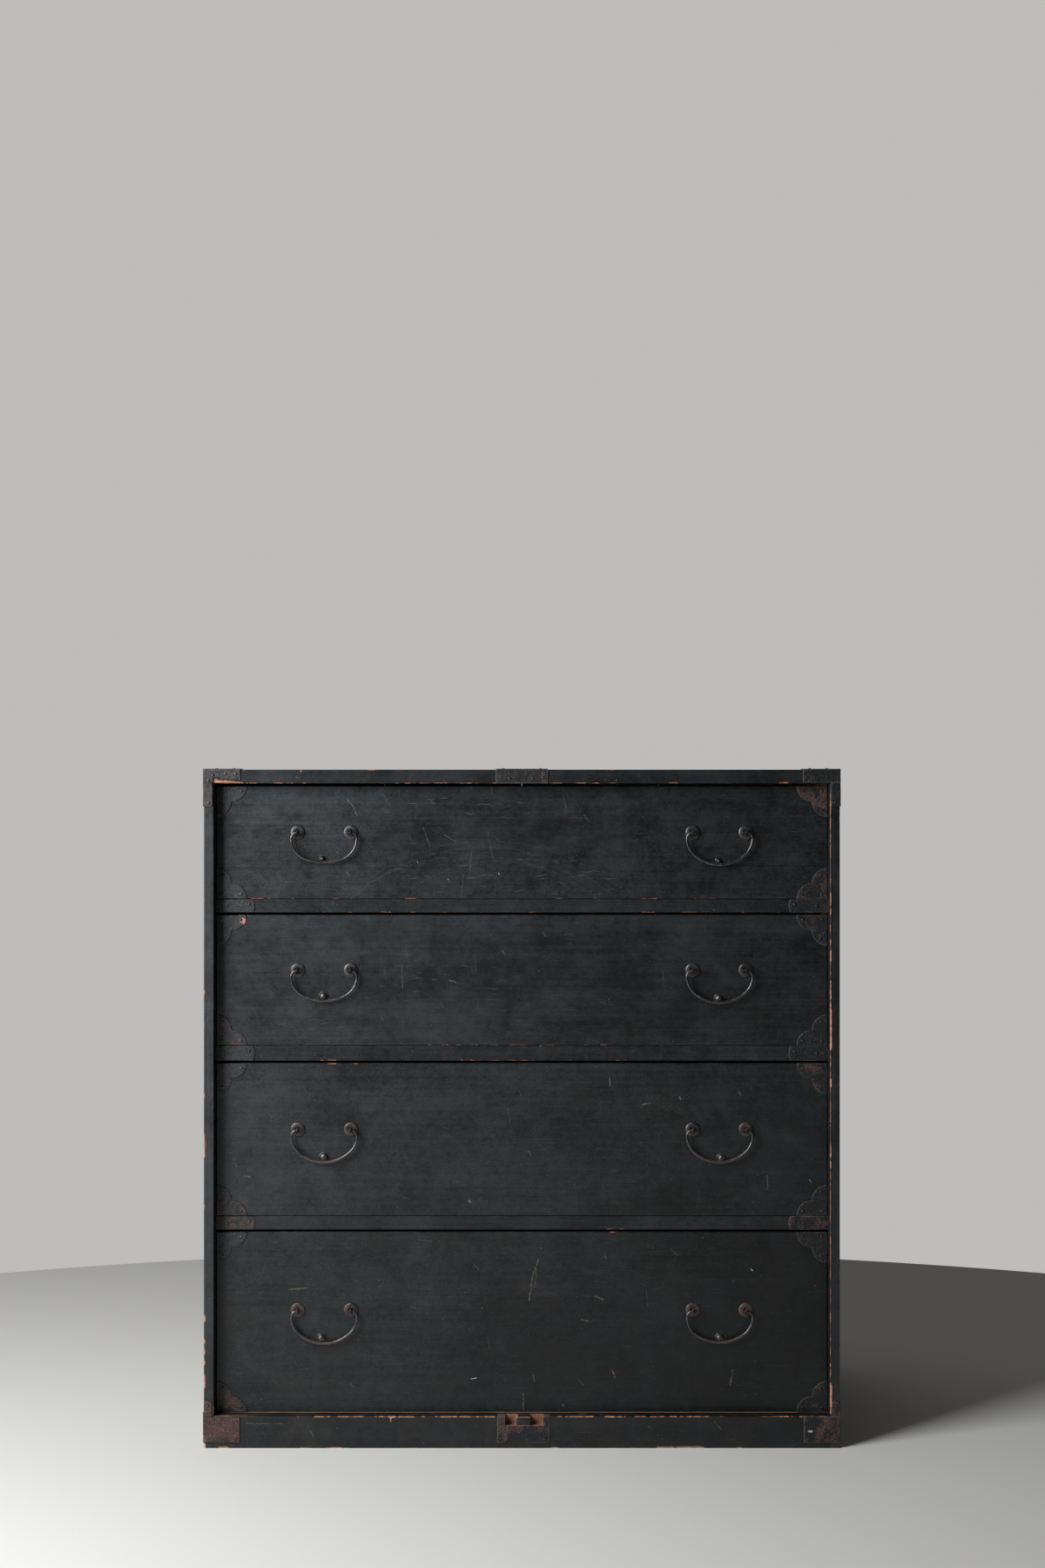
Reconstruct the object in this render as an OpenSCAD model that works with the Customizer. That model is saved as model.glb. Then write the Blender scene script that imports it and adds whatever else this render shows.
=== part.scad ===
// Four-drawer clothes chest of the tansu kind, lacquered front, forged iron
// bail handles and nailed iron plates. Millimetres. +Z up, front faces -Y,
// origin at the centre of the base on the floor.

/* [Case] */
// Outer width of the wooden case
case_w = 880; // [760:5:1000]
// Outer depth of the wooden case
case_d = 430; // [360:5:480]
// Thickness of the two side boards
side_t = 13.5; // [12:0.5:18]
// Thickness of the top board
top_t = 19; // [16:0.5:24]
// Height of the bottom rail above the floor
base_h = 44; // [38:0.5:60]
// Thickness of the bottom rail, front to back, and of the recess before the drawers
recess = 20; // [16:0.5:26]
// Thickness of the bottom board
floor_t = 18; // [14:1:22]
// Thickness of the back boards
back_t = 7; // [5:0.5:10]
// Depth of the front rails, front to back
rail_d = 35; // [30:1:50]
// Width of the side runners
runner_w = 22; // [16:1:30]

/* [Drawers] */
// Front height of the top drawer
front_1 = 156.7; // [120:0.1:190]
// Front height of the second drawer
front_2 = 181.3; // [140:0.1:210]
// Front height of the third drawer
front_3 = 212.1; // [160:0.1:240]
// Front height of the bottom drawer
front_4 = 250.3; // [180:0.1:280]
// Thickness of the rail under the top drawer
rail_1_t = 18.5; // [16:0.1:24]
// Thickness of the rail under the second drawer
rail_2_t = 20.8; // [16:0.1:24]
// Thickness of the rail under the third drawer
rail_3_t = 18.8; // [16:0.1:24]
// Gap over each drawer front
gap_top = 3.6; // [2:0.1:6]
// Gap under each drawer front
gap_low = 0.6; // [0.4:0.1:1.5]
// Gap at each side of a drawer
gap_side = 1; // [0.6:0.1:2]
// Thickness of the drawer fronts
front_t = 19; // [19:1:22]
// Thickness of the drawer sides and backs
wall_t = 10; // [8:1:12]
// Thickness of the drawer bottoms
bottom_t = 6.5; // [5:0.5:9]
// Length of a drawer, front to back
drawer_l = 390; // [330:5:395]

/* [Handles] */
// Distance of a handle from the middle of the drawer
handle_x = 275; // [200:5:320]
// Distance between the two eyes of a handle
eye_span = 74; // [60:1:90]
// Height of the eyes over the middle of the drawer front
eye_rise = 14; // [8:0.5:20]
// Height of the eyes over the middle of the bottom drawer front
eye_rise_low = 16.5; // [8:0.5:24]
// Distance of the bail's turning axis from the drawer front
eye_out = 7; // [6.6:0.1:9]
// Half the overall width of a bail, at the middle of its rod
bail_half = 45.6; // [42:0.1:50]
// Drop of a bail below its axis, at the middle of its rod
bail_drop = 42.1; // [36:0.1:50]
// Diameter of the bail rod
bail_rod = 3.8; // [3:0.1:4]
// Diameter of a rosette
rosette_d = 20.5; // [16:0.5:22]

/* [Ironwork] */
// Size of the drawer corner plates
corner_s = 43; // [34:1:50]
// Thickness of the thin plates on drawers and rails
sheet_t = 1; // [0.6:0.1:1.5]
// Thickness of the irons on the case
iron_t = 1.2; // [0.8:0.1:2]
// Length of the rail end plates
rail_plate_l = 55; // [40:1:70]
// Length of the corner irons along the case edges
iron_l = 51; // [40:1:60]
// Depth of the folds of the case irons over the side and top
fold = 25; // [15:1:40]
// Width of the centre plates
centre_w = 72; // [60:1:90]
// Diameter of the nail heads
nail_d = 3.8; // [3:0.1:5]

/* [Hidden] */

$fn = 48;

lacquer = "#2f3133";
wood = "#a37a52";
iron = "#4a4140";
rod_iron = "#6b6763";

hw = case_w / 2;            // half the case width
yf = -case_d / 2;           // front plane of the case
yb = case_d / 2;            // back plane of the case
yd = yf + recess;           // front plane of drawers and rails
xi = hw - side_t;           // inner face of a side board
xd = xi - gap_side;         // side face of a drawer
groove = 5;                 // depth of the housings in the side boards
rebate = 6.5;               // rebate for the back boards

// Levels from the floor up: tops of the rails and bottoms of the fronts.
z4 = base_h + gap_low;
r3 = z4 + front_4 + gap_top - 0.2;
z3 = r3 + rail_3_t + gap_low;
r2 = z3 + front_3 + gap_top;
z2 = r2 + rail_2_t + gap_low;
r1 = z2 + front_2 + gap_top;
z1 = r1 + rail_1_t + gap_low;
zt = z1 + front_1 + gap_top + 0.4;  // underside of the top board
zh = zt + top_t;                    // top of the wooden case

fronts = [front_1, front_2, front_3, front_4];
lows = [z1, z2, z3, z4];
rails = [r1, r2, r3];
rail_ts = [rail_1_t, rail_2_t, rail_3_t];
function eye_z(n) = lows[n] + fronts[n] / 2 + (n == 3 ? eye_rise_low : eye_rise);

fingers = 7;
finger = case_d / fingers;

shank_r = 0.9;
shank_l = 9;
hole_r = 0.95;

// ---------- fasteners ----------

// Domed nail driven along +Y, its head standing out of the plane y = 0.
module nail() {
    head_h = 1;
    big = (pow(nail_d / 2, 2) + pow(head_h, 2)) / (2 * head_h);
    rotate([90, 0, 0]) {
        intersection() {
            translate([0, 0, head_h - big]) sphere(big);
            cylinder(r = nail_d / 2, h = head_h + 1);
        }
        translate([0, 0, -shank_l]) cylinder(r = shank_r, h = shank_l + 0.3);
    }
}

// Hole for the shank of a nail, from just before the plane y = 0 inwards.
module nail_hole(extra = 0) {
    rotate([-90, 0, 0]) translate([0, 0, -1])
        cylinder(r = hole_r, h = shank_l + 1.3 + extra);
}

// Puts its children at each [x, z] of a list, on the plane y.
module on_front(points, y) {
    for (p = points) translate([p[0], y, p[1]]) children();
}

// Mirrors its children to both sides of the middle plane.
module both_sides() {
    children();
    mirror([1, 0, 0]) children();
}

// The same, where the two sides differ a little: $side is 1 or -1.
module each_side() {
    for ($side = [1, -1]) mirror([$side < 0 ? 1 : 0, 0, 0]) children();
}

// ---------- case boards ----------

module notches(even) {
    for (i = [0 : fingers - 1]) if ((i % 2 == 0) == even)
        translate([0, yf + i * finger, 0]) cube([side_t, finger, top_t]);
}

module top_board() {
    color(lacquer) difference() {
        translate([-hw, yf, zt]) cube([case_w, case_d, top_t]);
        translate([-hw, 0, zt]) notches(false);
        translate([xi, 0, zt]) notches(false);
        // rebate for the back boards
        translate([-xi - rebate, yb - back_t, zt]) cube([2 * (xi + rebate), back_t, 8]);
        each_side() on_front(top_iron_nails($side), yf) nail_hole();
        on_front(catch_nails, yf) nail_hole();
        both_sides() for (x = top_fold_nails)
            translate([x, yf + fold * 0.6, zh]) rotate([-90, 0, 0]) nail_hole();
        for (x = catch_fold_nails)
            translate([x, yf + fold * 0.6, zh]) rotate([-90, 0, 0]) nail_hole();
    }
}

// Right-hand side board; the left one is its mirror image.
module side_board() {
    difference() {
        union() {
            translate([xi, yf, 0]) cube([side_t, case_d, zt]);
            translate([xi, 0, zt]) notches(false);
        }
        // housing of the bottom board
        translate([xi, yf + recess, base_h - floor_t])
            cube([groove, case_d - recess - back_t, floor_t]);
        // housings of the front rails
        for (i = [0 : 2]) translate([xi, yd, rails[i]])
            cube([groove, rail_d, rail_ts[i]]);
        // rebate for the back boards
        translate([xi, yb - back_t, base_h - floor_t])
            cube([rebate, back_t, zt + 8 - (base_h - floor_t)]);
        on_front(stile_nails, yf) nail_hole();
        for (z = side_fold_nails) translate([hw, yf + fold * 0.6, z])
            rotate([0, 0, 90]) nail_hole();
    }
}

module right_side() { color(lacquer) side_board(); }
module left_side() { color(lacquer) mirror([1, 0, 0]) side_board(); }

module bottom_board() {
    color(wood) translate([-xi - groove, yd, base_h - floor_t])
        cube([2 * (xi + groove), case_d - recess - back_t, floor_t]);
}

// Pockets behind the keeper plate, open at the front and the top.
pocket_h = 13;
pocket_d = 12;
pocket_l = [-23.2, -7.5];
pocket_r = [11.7, 29.8];

module bottom_rail() {
    color(lacquer) difference() {
        translate([-xi, yf, 0]) cube([2 * xi, recess, base_h]);
        for (p = [pocket_l, pocket_r])
            translate([p[0], yf - 1, base_h - pocket_h])
                cube([p[1] - p[0], pocket_d + 1, pocket_h + 1]);
        // the fold of the keeper plate is let in flush
        translate([-centre_w / 2 + 2, yf - 1, base_h - iron_t])
            cube([centre_w, pocket_d + 1, iron_t + 1]);
        both_sides() on_front(low_iron_nails, yf) nail_hole();
        on_front(keeper_nails, yf) nail_hole();
    }
}

module back_boards() {
    span = 2 * (xi + rebate);
    color(wood) for (i = [0 : 3])
        translate([-span / 2 + i * span / 4, yb - back_t, base_h - floor_t])
            cube([span / 4 - 0.4, back_t, zt + 8 - (base_h - floor_t)]);
}

module rail(i) {
    color(lacquer) difference() {
        translate([-xi - groove, yd, rails[i]])
            cube([2 * (xi + groove), rail_d, rail_ts[i]]);
        both_sides() on_front(rail_nails(i), yd) nail_hole();
    }
}

module rail_1() { rail(0); }
module rail_2() { rail(1); }
module rail_3() { rail(2); }

module side_runners() {
    color(wood) for (i = [0 : 2]) both_sides()
        translate([xi - runner_w, yd + rail_d, rails[i]])
            cube([runner_w, case_d - recess - rail_d - back_t, rail_ts[i]]);
}

// ---------- case ironwork ----------

function top_iron_nails(side) = side < 0
    ? [[hw - 29.5, zh - 6], [hw - 44, zh - 6], [hw - 12.6, zh - 8], [hw - 6.8, zh - 15]]
    : [[hw - 46.5, zh - 10.3], [hw - 17.5, zh - 10.3], [hw - 10.2, zh - 16]];
stile_nails = [[hw - 6.8, zh - 46], [hw - 5.6, base_h + 15], [hw - 6.6, base_h - 7.3],
               [hw - 6.6, base_h - 30]];
low_iron_nails = [[hw - 45.2, base_h - 5.8], [hw - 44.2, base_h - 31.2]];
side_fold_nails = [zh - 28, zh - 44, base_h - 12];
top_fold_nails = [hw - 16, hw - 40];
catch_nails = [[-17, zh - 12.5], [15, zh - 12.5], [29.5, zh - 11.5]];
catch_fold_nails = [-26, 26];
keeper_nails = [[-28.5, base_h - 8.6], [-30, base_h - 30.5], [32.7, base_h - 9.5],
                [31, base_h - 31.5]];
function rail_nails(i) = [[xi - 16, rails[i] + rail_ts[i] * 0.5],
                          [xi - 47, rails[i] + rail_ts[i] * 0.62]];

// Bent sheet round the top corner: front leg, stile leg, and folds over
// the side and the top.
module top_corner_iron(side) {
    difference() {
        union() {
            translate([hw - iron_l, yf - iron_t, zt + 1.5])
                cube([iron_l + iron_t, iron_t, top_t - 1.5 + iron_t]);
            translate([hw - side_t + 1.5, yf - iron_t, zh - iron_l])
                cube([side_t - 1.5 + iron_t, iron_t, iron_l]);
            translate([hw, yf - iron_t, zh - iron_l])
                cube([iron_t, fold + iron_t, iron_l + iron_t]);
            translate([hw - iron_l, yf - iron_t, zh])
                cube([iron_l + iron_t, fold + iron_t, iron_t]);
        }
        on_front(top_iron_nails(side), yf - iron_t) nail_hole();
        on_front(stile_nails, yf - iron_t) nail_hole();
        for (z = side_fold_nails) translate([hw + iron_t, yf + fold * 0.6, z])
            rotate([0, 0, 90]) nail_hole();
        for (x = top_fold_nails)
            translate([x, yf + fold * 0.6, zh + iron_t]) rotate([-90, 0, 0]) nail_hole();
    }
}

// Bent sheet round the bottom corner: plate on the rail, a leg up the stile
// with a round end, and a fold over the side.
module low_corner_iron() {
    leg_w = 11;
    low = 7.8;
    leg_top = base_h + 21;
    difference() {
        union() {
            translate([hw - iron_l + 1, yf - iron_t, low])
                cube([iron_l - 1 + iron_t, iron_t, base_h - low]);
            translate([hw - leg_w, yf - iron_t, low])
                cube([leg_w + iron_t, iron_t, leg_top - leg_w / 2 - low]);
            translate([hw - leg_w / 2, yf, leg_top - leg_w / 2])
                rotate([90, 0, 0]) cylinder(r = leg_w / 2, h = iron_t);
            translate([hw, yf - iron_t, low])
                cube([iron_t, fold + iron_t, base_h - low]);
        }
        on_front(low_iron_nails, yf - iron_t) nail_hole();
        on_front(stile_nails, yf - iron_t) nail_hole();
        for (z = side_fold_nails) translate([hw + iron_t, yf + fold * 0.6, z])
            rotate([0, 0, 90]) nail_hole();
    }
}

module case_corner_irons() {
    color(iron) each_side() { top_corner_iron($side); low_corner_iron(); }
}

// Plate on the end of a rail, its inner end a shallow arc.
module rail_end_plates() {
    bulge = 2.4;
    for (i = [0 : 2]) {
        h = rail_ts[i];
        r = (pow(h / 2, 2) + pow(bulge, 2)) / (2 * bulge);
        color(iron) both_sides() difference() {
            intersection() {
                translate([xi - rail_plate_l, yd - sheet_t, rails[i]])
                    cube([rail_plate_l, sheet_t, h]);
                translate([xi - rail_plate_l + r, yd, rails[i] + h / 2])
                    rotate([90, 0, 0]) union() {
                        cylinder(r = r, h = sheet_t);
                        translate([0, -h, 0]) cube([2 * rail_plate_l, 2 * h, sheet_t]);
                    }
            }
            on_front(rail_nails(i), yd - sheet_t) nail_hole();
        }
    }
}

// Plate on the edge of the top board, folded over the top.
module top_catch_plate() {
    color(iron) difference() {
        union() {
            translate([-centre_w / 2, yf - iron_t, zt])
                cube([centre_w, iron_t, top_t + iron_t]);
            translate([-centre_w / 2, yf - iron_t, zh])
                cube([centre_w, fold + iron_t, iron_t]);
        }
        on_front(catch_nails, yf - iron_t) nail_hole();
        for (x = catch_fold_nails)
            translate([x, yf + fold * 0.6, zh + iron_t]) rotate([-90, 0, 0]) nail_hole();
    }
}

// Notched plate on the bottom rail, its upper edge folded back over the
// ledge and let in flush, open over the two pockets.
module bottom_keeper_plate() {
    x0 = -centre_w / 2 + 2;
    color(iron) difference() {
        union() {
            translate([x0, yf - iron_t, 7.8]) cube([centre_w, iron_t, base_h - 7.8]);
            translate([x0, yf - iron_t, base_h - iron_t])
                cube([centre_w, pocket_d + iron_t, iron_t]);
        }
        translate([pocket_l[0], yf - 5, base_h - pocket_h + 1])
            cube([pocket_r[1] - pocket_l[0], pocket_d + 6, pocket_h + 1]);
        on_front(keeper_nails, yf - iron_t) nail_hole();
    }
}

module case_nails() {
    color(rod_iron) {
        each_side() {
            on_front(top_iron_nails($side), yf - iron_t) nail();
            on_front(stile_nails, yf - iron_t) nail();
            on_front(low_iron_nails, yf - iron_t) nail();
            for (z = side_fold_nails) translate([hw + iron_t, yf + fold * 0.6, z])
                rotate([0, 0, 90]) nail();
            for (x = top_fold_nails) translate([x, yf + fold * 0.6, zh + iron_t])
                rotate([-90, 0, 0]) nail();
            for (i = [0 : 2]) on_front(rail_nails(i), yd - sheet_t) nail();
        }
        on_front(catch_nails, yf - iron_t) nail();
        for (x = catch_fold_nails) translate([x, yf + fold * 0.6, zh + iron_t])
            rotate([-90, 0, 0]) nail();
        on_front(keeper_nails, yf - iron_t) nail();
    }
}

// ---------- drawers ----------

yr = yd + front_t;          // back of a drawer front
ye = yd + drawer_l;         // back end of a drawer
lap = 9;                    // depth of the rebates behind a front
// Bumper studs, left and right one of each drawer: how far to the right of the
// middle of the handle, how far below the eyes, and radius of the dome.
studs = [[[-2.6, 36.8, 3.4], [-1.0, 39.6, 3.4]],
         [[-0.6, 37.0, 5.6], [0.4, 39.8, 5.8]],
         [[0, 39.0, 5.8], [4.2, 40.6, 6]],
         [[-3.4, 40.2, 6], [1.6, 39.0, 5.8]]];
// How much lower than bail_drop each bail hangs: bent by hand and by use.
bail_more = [[-0.9, 2.6], [0, 2.6], [2.6, 2.8], [3.0, 1.4]];

// Nails of one corner plate, counted from the corner of the front.
plate_nails = [[34.5, 6.6], [8, 6], [9, 33]];

// Puts its children at the four corners of a drawer front, mirrored so that
// each sees the corner at the origin and the front running to +X and +Z.
module at_corners(n) {
    for (sx = [-1, 1]) for (top = [0, 1])
        translate([sx * xd, 0, lows[n] + top * fronts[n]])
            mirror([sx > 0 ? 1 : 0, 0, 0]) mirror([0, 0, top]) children();
}

// Puts its children at the two bumper studs, with their radius in $stud_r.
module at_studs(n) {
    for (k = [0, 1]) {
        $stud_r = studs[n][k][2];
        translate([(k == 0 ? -handle_x : handle_x) + studs[n][k][0], yd, eye_z(n) - studs[n][k][1]])
            children();
    }
}

module drawer_front(n) {
    z = lows[n];
    h = fronts[n];
    color(lacquer) difference() {
        translate([-xd, yd, z]) cube([2 * xd, front_t, h]);
        // rebates at the ends for the sides and along the foot for the bottom
        both_sides() translate([xd - wall_t, yr - lap, z - 1])
            cube([wall_t + 1, lap + 1, h + 2]);
        translate([-xd - 1, yr - lap, z - 1]) cube([2 * xd + 2, lap + 1, bottom_t + 1]);
        for (x = eye_xs()) translate([x, yd - 1, eye_z(n)]) rotate([-90, 0, 0])
            cylinder(r = 1.75, h = front_t + 2);
        at_studs(n) nail_hole();
        at_corners(n) on_front(plate_nails, yd) nail_hole();
    }
}

// One drawer side, outer face flush with the end of the front.
module drawer_side(n) {
    color(wood) translate([xd - wall_t, yr - lap, lows[n] + bottom_t])
        cube([wall_t, ye - yr + lap, fronts[n] - bottom_t - 2]);
}

module drawer_left(n) { mirror([1, 0, 0]) drawer_side(n); }
module drawer_right(n) { drawer_side(n); }

module drawer_back(n) {
    color(wood) translate([-xd + wall_t, ye - wall_t, lows[n] + bottom_t])
        cube([2 * (xd - wall_t), wall_t, fronts[n] - bottom_t - 8]);
}

module drawer_bottom(n) {
    color(wood) translate([-xd, yr - lap, lows[n]])
        cube([2 * xd, ye - yr + lap, bottom_t]);
}

// Double-lobed plate: a square in the corner and a quarter disc along each edge.
module corner_plate() {
    s = corner_s / 2;
    rotate([90, 0, 0]) linear_extrude(sheet_t) intersection() {
        square(corner_s);
        union() {
            square(s);
            translate([s, 0]) circle(s);
            translate([0, s]) circle(s);
        }
    }
}

module drawer_corner_plates(n) {
    color(iron) at_corners(n) translate([0, yd, 0]) difference() {
        corner_plate();
        on_front(plate_nails, -sheet_t) nail_hole();
    }
}

// Domed stud with a raised ring, against which the bail rests. Those of the
// top drawer are smaller.
module bumper_stud(r) {
    h = 4.6;
    low = 1.2;              // height at which the dome starts
    dome = r - 0.15;
    big = (pow(dome, 2) + pow(h - low, 2)) / (2 * (h - low));
    lip = r * 1.4;
    rotate([90, 0, 0]) rotate_extrude() {
        difference() {
            square([lip, 1]);
            translate([r + 0.3, 0.5]) square([lip - r - 1.1, 1]);
        }
        square([r, low]);
        intersection() {
            translate([0, low - 0.2]) square([r, h]);
            translate([0, h - big]) circle(big, $fn = 180);
        }
    }
    rotate([-90, 0, 0]) translate([0, 0, -0.6]) cylinder(r = shank_r, h = shank_l + 0.6);
}

module drawer_nails(n) {
    color(rod_iron) {
        at_corners(n) on_front(plate_nails, yd - sheet_t) nail();
        at_studs(n) bumper_stud($stud_r);
    }
}

// ---------- handles ----------

function eye_xs() = [-handle_x - eye_span / 2, -handle_x + eye_span / 2,
                     handle_x - eye_span / 2, handle_x + eye_span / 2];
ring_r = 3.4;               // ring of an eye, at the middle of its wire
wire_r = 1.2;

module rosette() {
    h = 2.4;
    big = (pow(rosette_d / 2, 2) + pow(h - 0.5, 2)) / (2 * (h - 0.5));
    rotate([90, 0, 0]) rotate_extrude() intersection() {
        translate([1.75, 0]) square([rosette_d / 2 - 1.75, h]);
        translate([0, h - big]) circle(big, $fn = 180);
    }
}

module drawer_rosettes(n) {
    color(iron) for (x = eye_xs()) translate([x, yd, eye_z(n)]) rosette();
}

// Split pin: ring before the front, shank through it, two legs clinched
// flat against the inside.
module eye_pin() {
    rotate([0, 90, 0]) rotate_extrude() translate([ring_r, 0]) circle(wire_r);
    rotate([-90, 0, 0]) translate([0, 0, ring_r - 0.6])
        cylinder(r = 1.65, h = eye_out + front_t + 1.4 - ring_r + 0.6);
    for (s = [-1, 1]) translate([-1.2, eye_out + front_t, s < 0 ? -13 : 0])
        cube([2.4, 1.4, 13]);
}

module drawer_eye_pins(n) {
    color(rod_iron) for (x = eye_xs())
        translate([x, yd - eye_out, eye_z(n)]) eye_pin();
}

// Bail in the plane of its axis: straight ends in the eyes, a tight bend,
// a wide side arc and the long bottom arc, all tangent to one another.
// drop is how far the middle of the rod hangs below the axis.
bend_r = 8.5;
side_r = 30;
side_cx = bail_half - side_r;
side_cz = -bend_r;
function low_r(drop) = (pow(side_cx, 2) + pow(drop - bend_r, 2) - pow(side_r, 2))
                       / (2 * (drop - bend_r) - 2 * side_r);
// half the sweep of the bottom arc
function swing(drop) = atan2(side_cx, low_r(drop) - drop - side_cz);

// Arc of the rod in the XZ plane about [cx, cz], from the +X side upwards,
// or downwards where down is true.
module rod_arc(cx, cz, r, sweep, down = false) {
    translate([cx, 0, cz]) mirror([0, 0, down ? 1 : 0]) rotate([90, 0, 0])
        rotate_extrude(angle = sweep) translate([r, 0]) circle(bail_rod / 2);
}

module bail(drop) {
    x0 = eye_span / 2 - 6.5;
    x1 = bail_half - bend_r;
    slit = 0.3;             // degrees left free inside each forge bead
    r = low_r(drop);
    a = swing(drop);
    both_sides() {
        translate([x0, 0, 0]) rotate([0, 90, 0]) cylinder(r = bail_rod / 2, h = x1 - x0);
        rod_arc(x1, -bend_r, bend_r, 90);
        rod_arc(side_cx, side_cz, side_r, 90 - a - slit, true);
        // slight forge bead where the side arc meets the bottom arc
        translate([r * sin(a), 0, r - drop - r * cos(a)]) sphere(bail_rod / 2 + 0.08);
    }
    translate([0, 0, r - drop]) rotate([90, 0, 0]) rotate([0, 0, -90 - a + slit])
        rotate_extrude(angle = 2 * (a - slit)) translate([r, 0]) circle(bail_rod / 2);
}

module drawer_bail(n, side) {
    color(rod_iron) translate([side * handle_x, yd - eye_out, eye_z(n)])
        bail(bail_drop + bail_more[n][side > 0 ? 1 : 0]);
}

// ---------- one module per sub-part of each drawer ----------

module drawer_1_front() { drawer_front(0); }
module drawer_1_left() { drawer_left(0); }
module drawer_1_right() { drawer_right(0); }
module drawer_1_back() { drawer_back(0); }
module drawer_1_bottom() { drawer_bottom(0); }
module drawer_1_bail_left() { drawer_bail(0, -1); }
module drawer_1_bail_right() { drawer_bail(0, 1); }
module drawer_1_rosettes() { drawer_rosettes(0); }
module drawer_1_eye_pins() { drawer_eye_pins(0); }
module drawer_1_corner_plates() { drawer_corner_plates(0); }
module drawer_1_nails() { drawer_nails(0); }

module drawer_2_front() { drawer_front(1); }
module drawer_2_left() { drawer_left(1); }
module drawer_2_right() { drawer_right(1); }
module drawer_2_back() { drawer_back(1); }
module drawer_2_bottom() { drawer_bottom(1); }
module drawer_2_bail_left() { drawer_bail(1, -1); }
module drawer_2_bail_right() { drawer_bail(1, 1); }
module drawer_2_rosettes() { drawer_rosettes(1); }
module drawer_2_eye_pins() { drawer_eye_pins(1); }
module drawer_2_corner_plates() { drawer_corner_plates(1); }
module drawer_2_nails() { drawer_nails(1); }

module drawer_3_front() { drawer_front(2); }
module drawer_3_left() { drawer_left(2); }
module drawer_3_right() { drawer_right(2); }
module drawer_3_back() { drawer_back(2); }
module drawer_3_bottom() { drawer_bottom(2); }
module drawer_3_bail_left() { drawer_bail(2, -1); }
module drawer_3_bail_right() { drawer_bail(2, 1); }
module drawer_3_rosettes() { drawer_rosettes(2); }
module drawer_3_eye_pins() { drawer_eye_pins(2); }
module drawer_3_corner_plates() { drawer_corner_plates(2); }
module drawer_3_nails() { drawer_nails(2); }

module drawer_4_front() { drawer_front(3); }
module drawer_4_left() { drawer_left(3); }
module drawer_4_right() { drawer_right(3); }
module drawer_4_back() { drawer_back(3); }
module drawer_4_bottom() { drawer_bottom(3); }
module drawer_4_bail_left() { drawer_bail(3, -1); }
module drawer_4_bail_right() { drawer_bail(3, 1); }
module drawer_4_rosettes() { drawer_rosettes(3); }
module drawer_4_eye_pins() { drawer_eye_pins(3); }
module drawer_4_corner_plates() { drawer_corner_plates(3); }
module drawer_4_nails() { drawer_nails(3); }

top_board();
left_side();
right_side();
bottom_board();
bottom_rail();
back_boards();
rail_1();
rail_2();
rail_3();
side_runners();
case_corner_irons();
rail_end_plates();
top_catch_plate();
bottom_keeper_plate();
case_nails();

drawer_1_front();
drawer_1_left();
drawer_1_right();
drawer_1_back();
drawer_1_bottom();
drawer_1_bail_left();
drawer_1_bail_right();
drawer_1_rosettes();
drawer_1_eye_pins();
drawer_1_corner_plates();
drawer_1_nails();

drawer_2_front();
drawer_2_left();
drawer_2_right();
drawer_2_back();
drawer_2_bottom();
drawer_2_bail_left();
drawer_2_bail_right();
drawer_2_rosettes();
drawer_2_eye_pins();
drawer_2_corner_plates();
drawer_2_nails();

drawer_3_front();
drawer_3_left();
drawer_3_right();
drawer_3_back();
drawer_3_bottom();
drawer_3_bail_left();
drawer_3_bail_right();
drawer_3_rosettes();
drawer_3_eye_pins();
drawer_3_corner_plates();
drawer_3_nails();

drawer_4_front();
drawer_4_left();
drawer_4_right();
drawer_4_back();
drawer_4_bottom();
drawer_4_bail_left();
drawer_4_bail_right();
drawer_4_rosettes();
drawer_4_eye_pins();
drawer_4_corner_plates();
drawer_4_nails();
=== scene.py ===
"""Looks of the four-drawer clothes chest: worn black lacquer over wood, thin
rusty irons, forged bail handles. Lengths here are in millimetres in the row
frame and become metres when a mesh is made."""
import math

import bpy
import numpy as np
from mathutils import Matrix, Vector


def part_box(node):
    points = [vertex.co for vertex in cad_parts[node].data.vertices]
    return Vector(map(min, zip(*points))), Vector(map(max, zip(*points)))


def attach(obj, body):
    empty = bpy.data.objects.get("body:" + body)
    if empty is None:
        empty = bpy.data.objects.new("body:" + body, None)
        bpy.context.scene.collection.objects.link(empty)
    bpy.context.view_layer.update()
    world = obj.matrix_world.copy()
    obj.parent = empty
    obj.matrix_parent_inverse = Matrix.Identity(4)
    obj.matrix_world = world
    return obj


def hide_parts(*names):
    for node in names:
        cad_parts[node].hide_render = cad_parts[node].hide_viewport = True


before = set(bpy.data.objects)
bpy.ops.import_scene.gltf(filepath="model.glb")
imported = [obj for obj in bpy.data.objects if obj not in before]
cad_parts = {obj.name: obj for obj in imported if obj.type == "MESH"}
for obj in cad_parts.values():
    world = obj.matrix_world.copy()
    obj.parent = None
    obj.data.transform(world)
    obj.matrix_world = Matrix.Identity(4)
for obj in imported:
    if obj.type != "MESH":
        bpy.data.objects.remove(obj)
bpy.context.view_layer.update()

# ---------------------------------------------------------------- sizes (mm)

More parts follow.
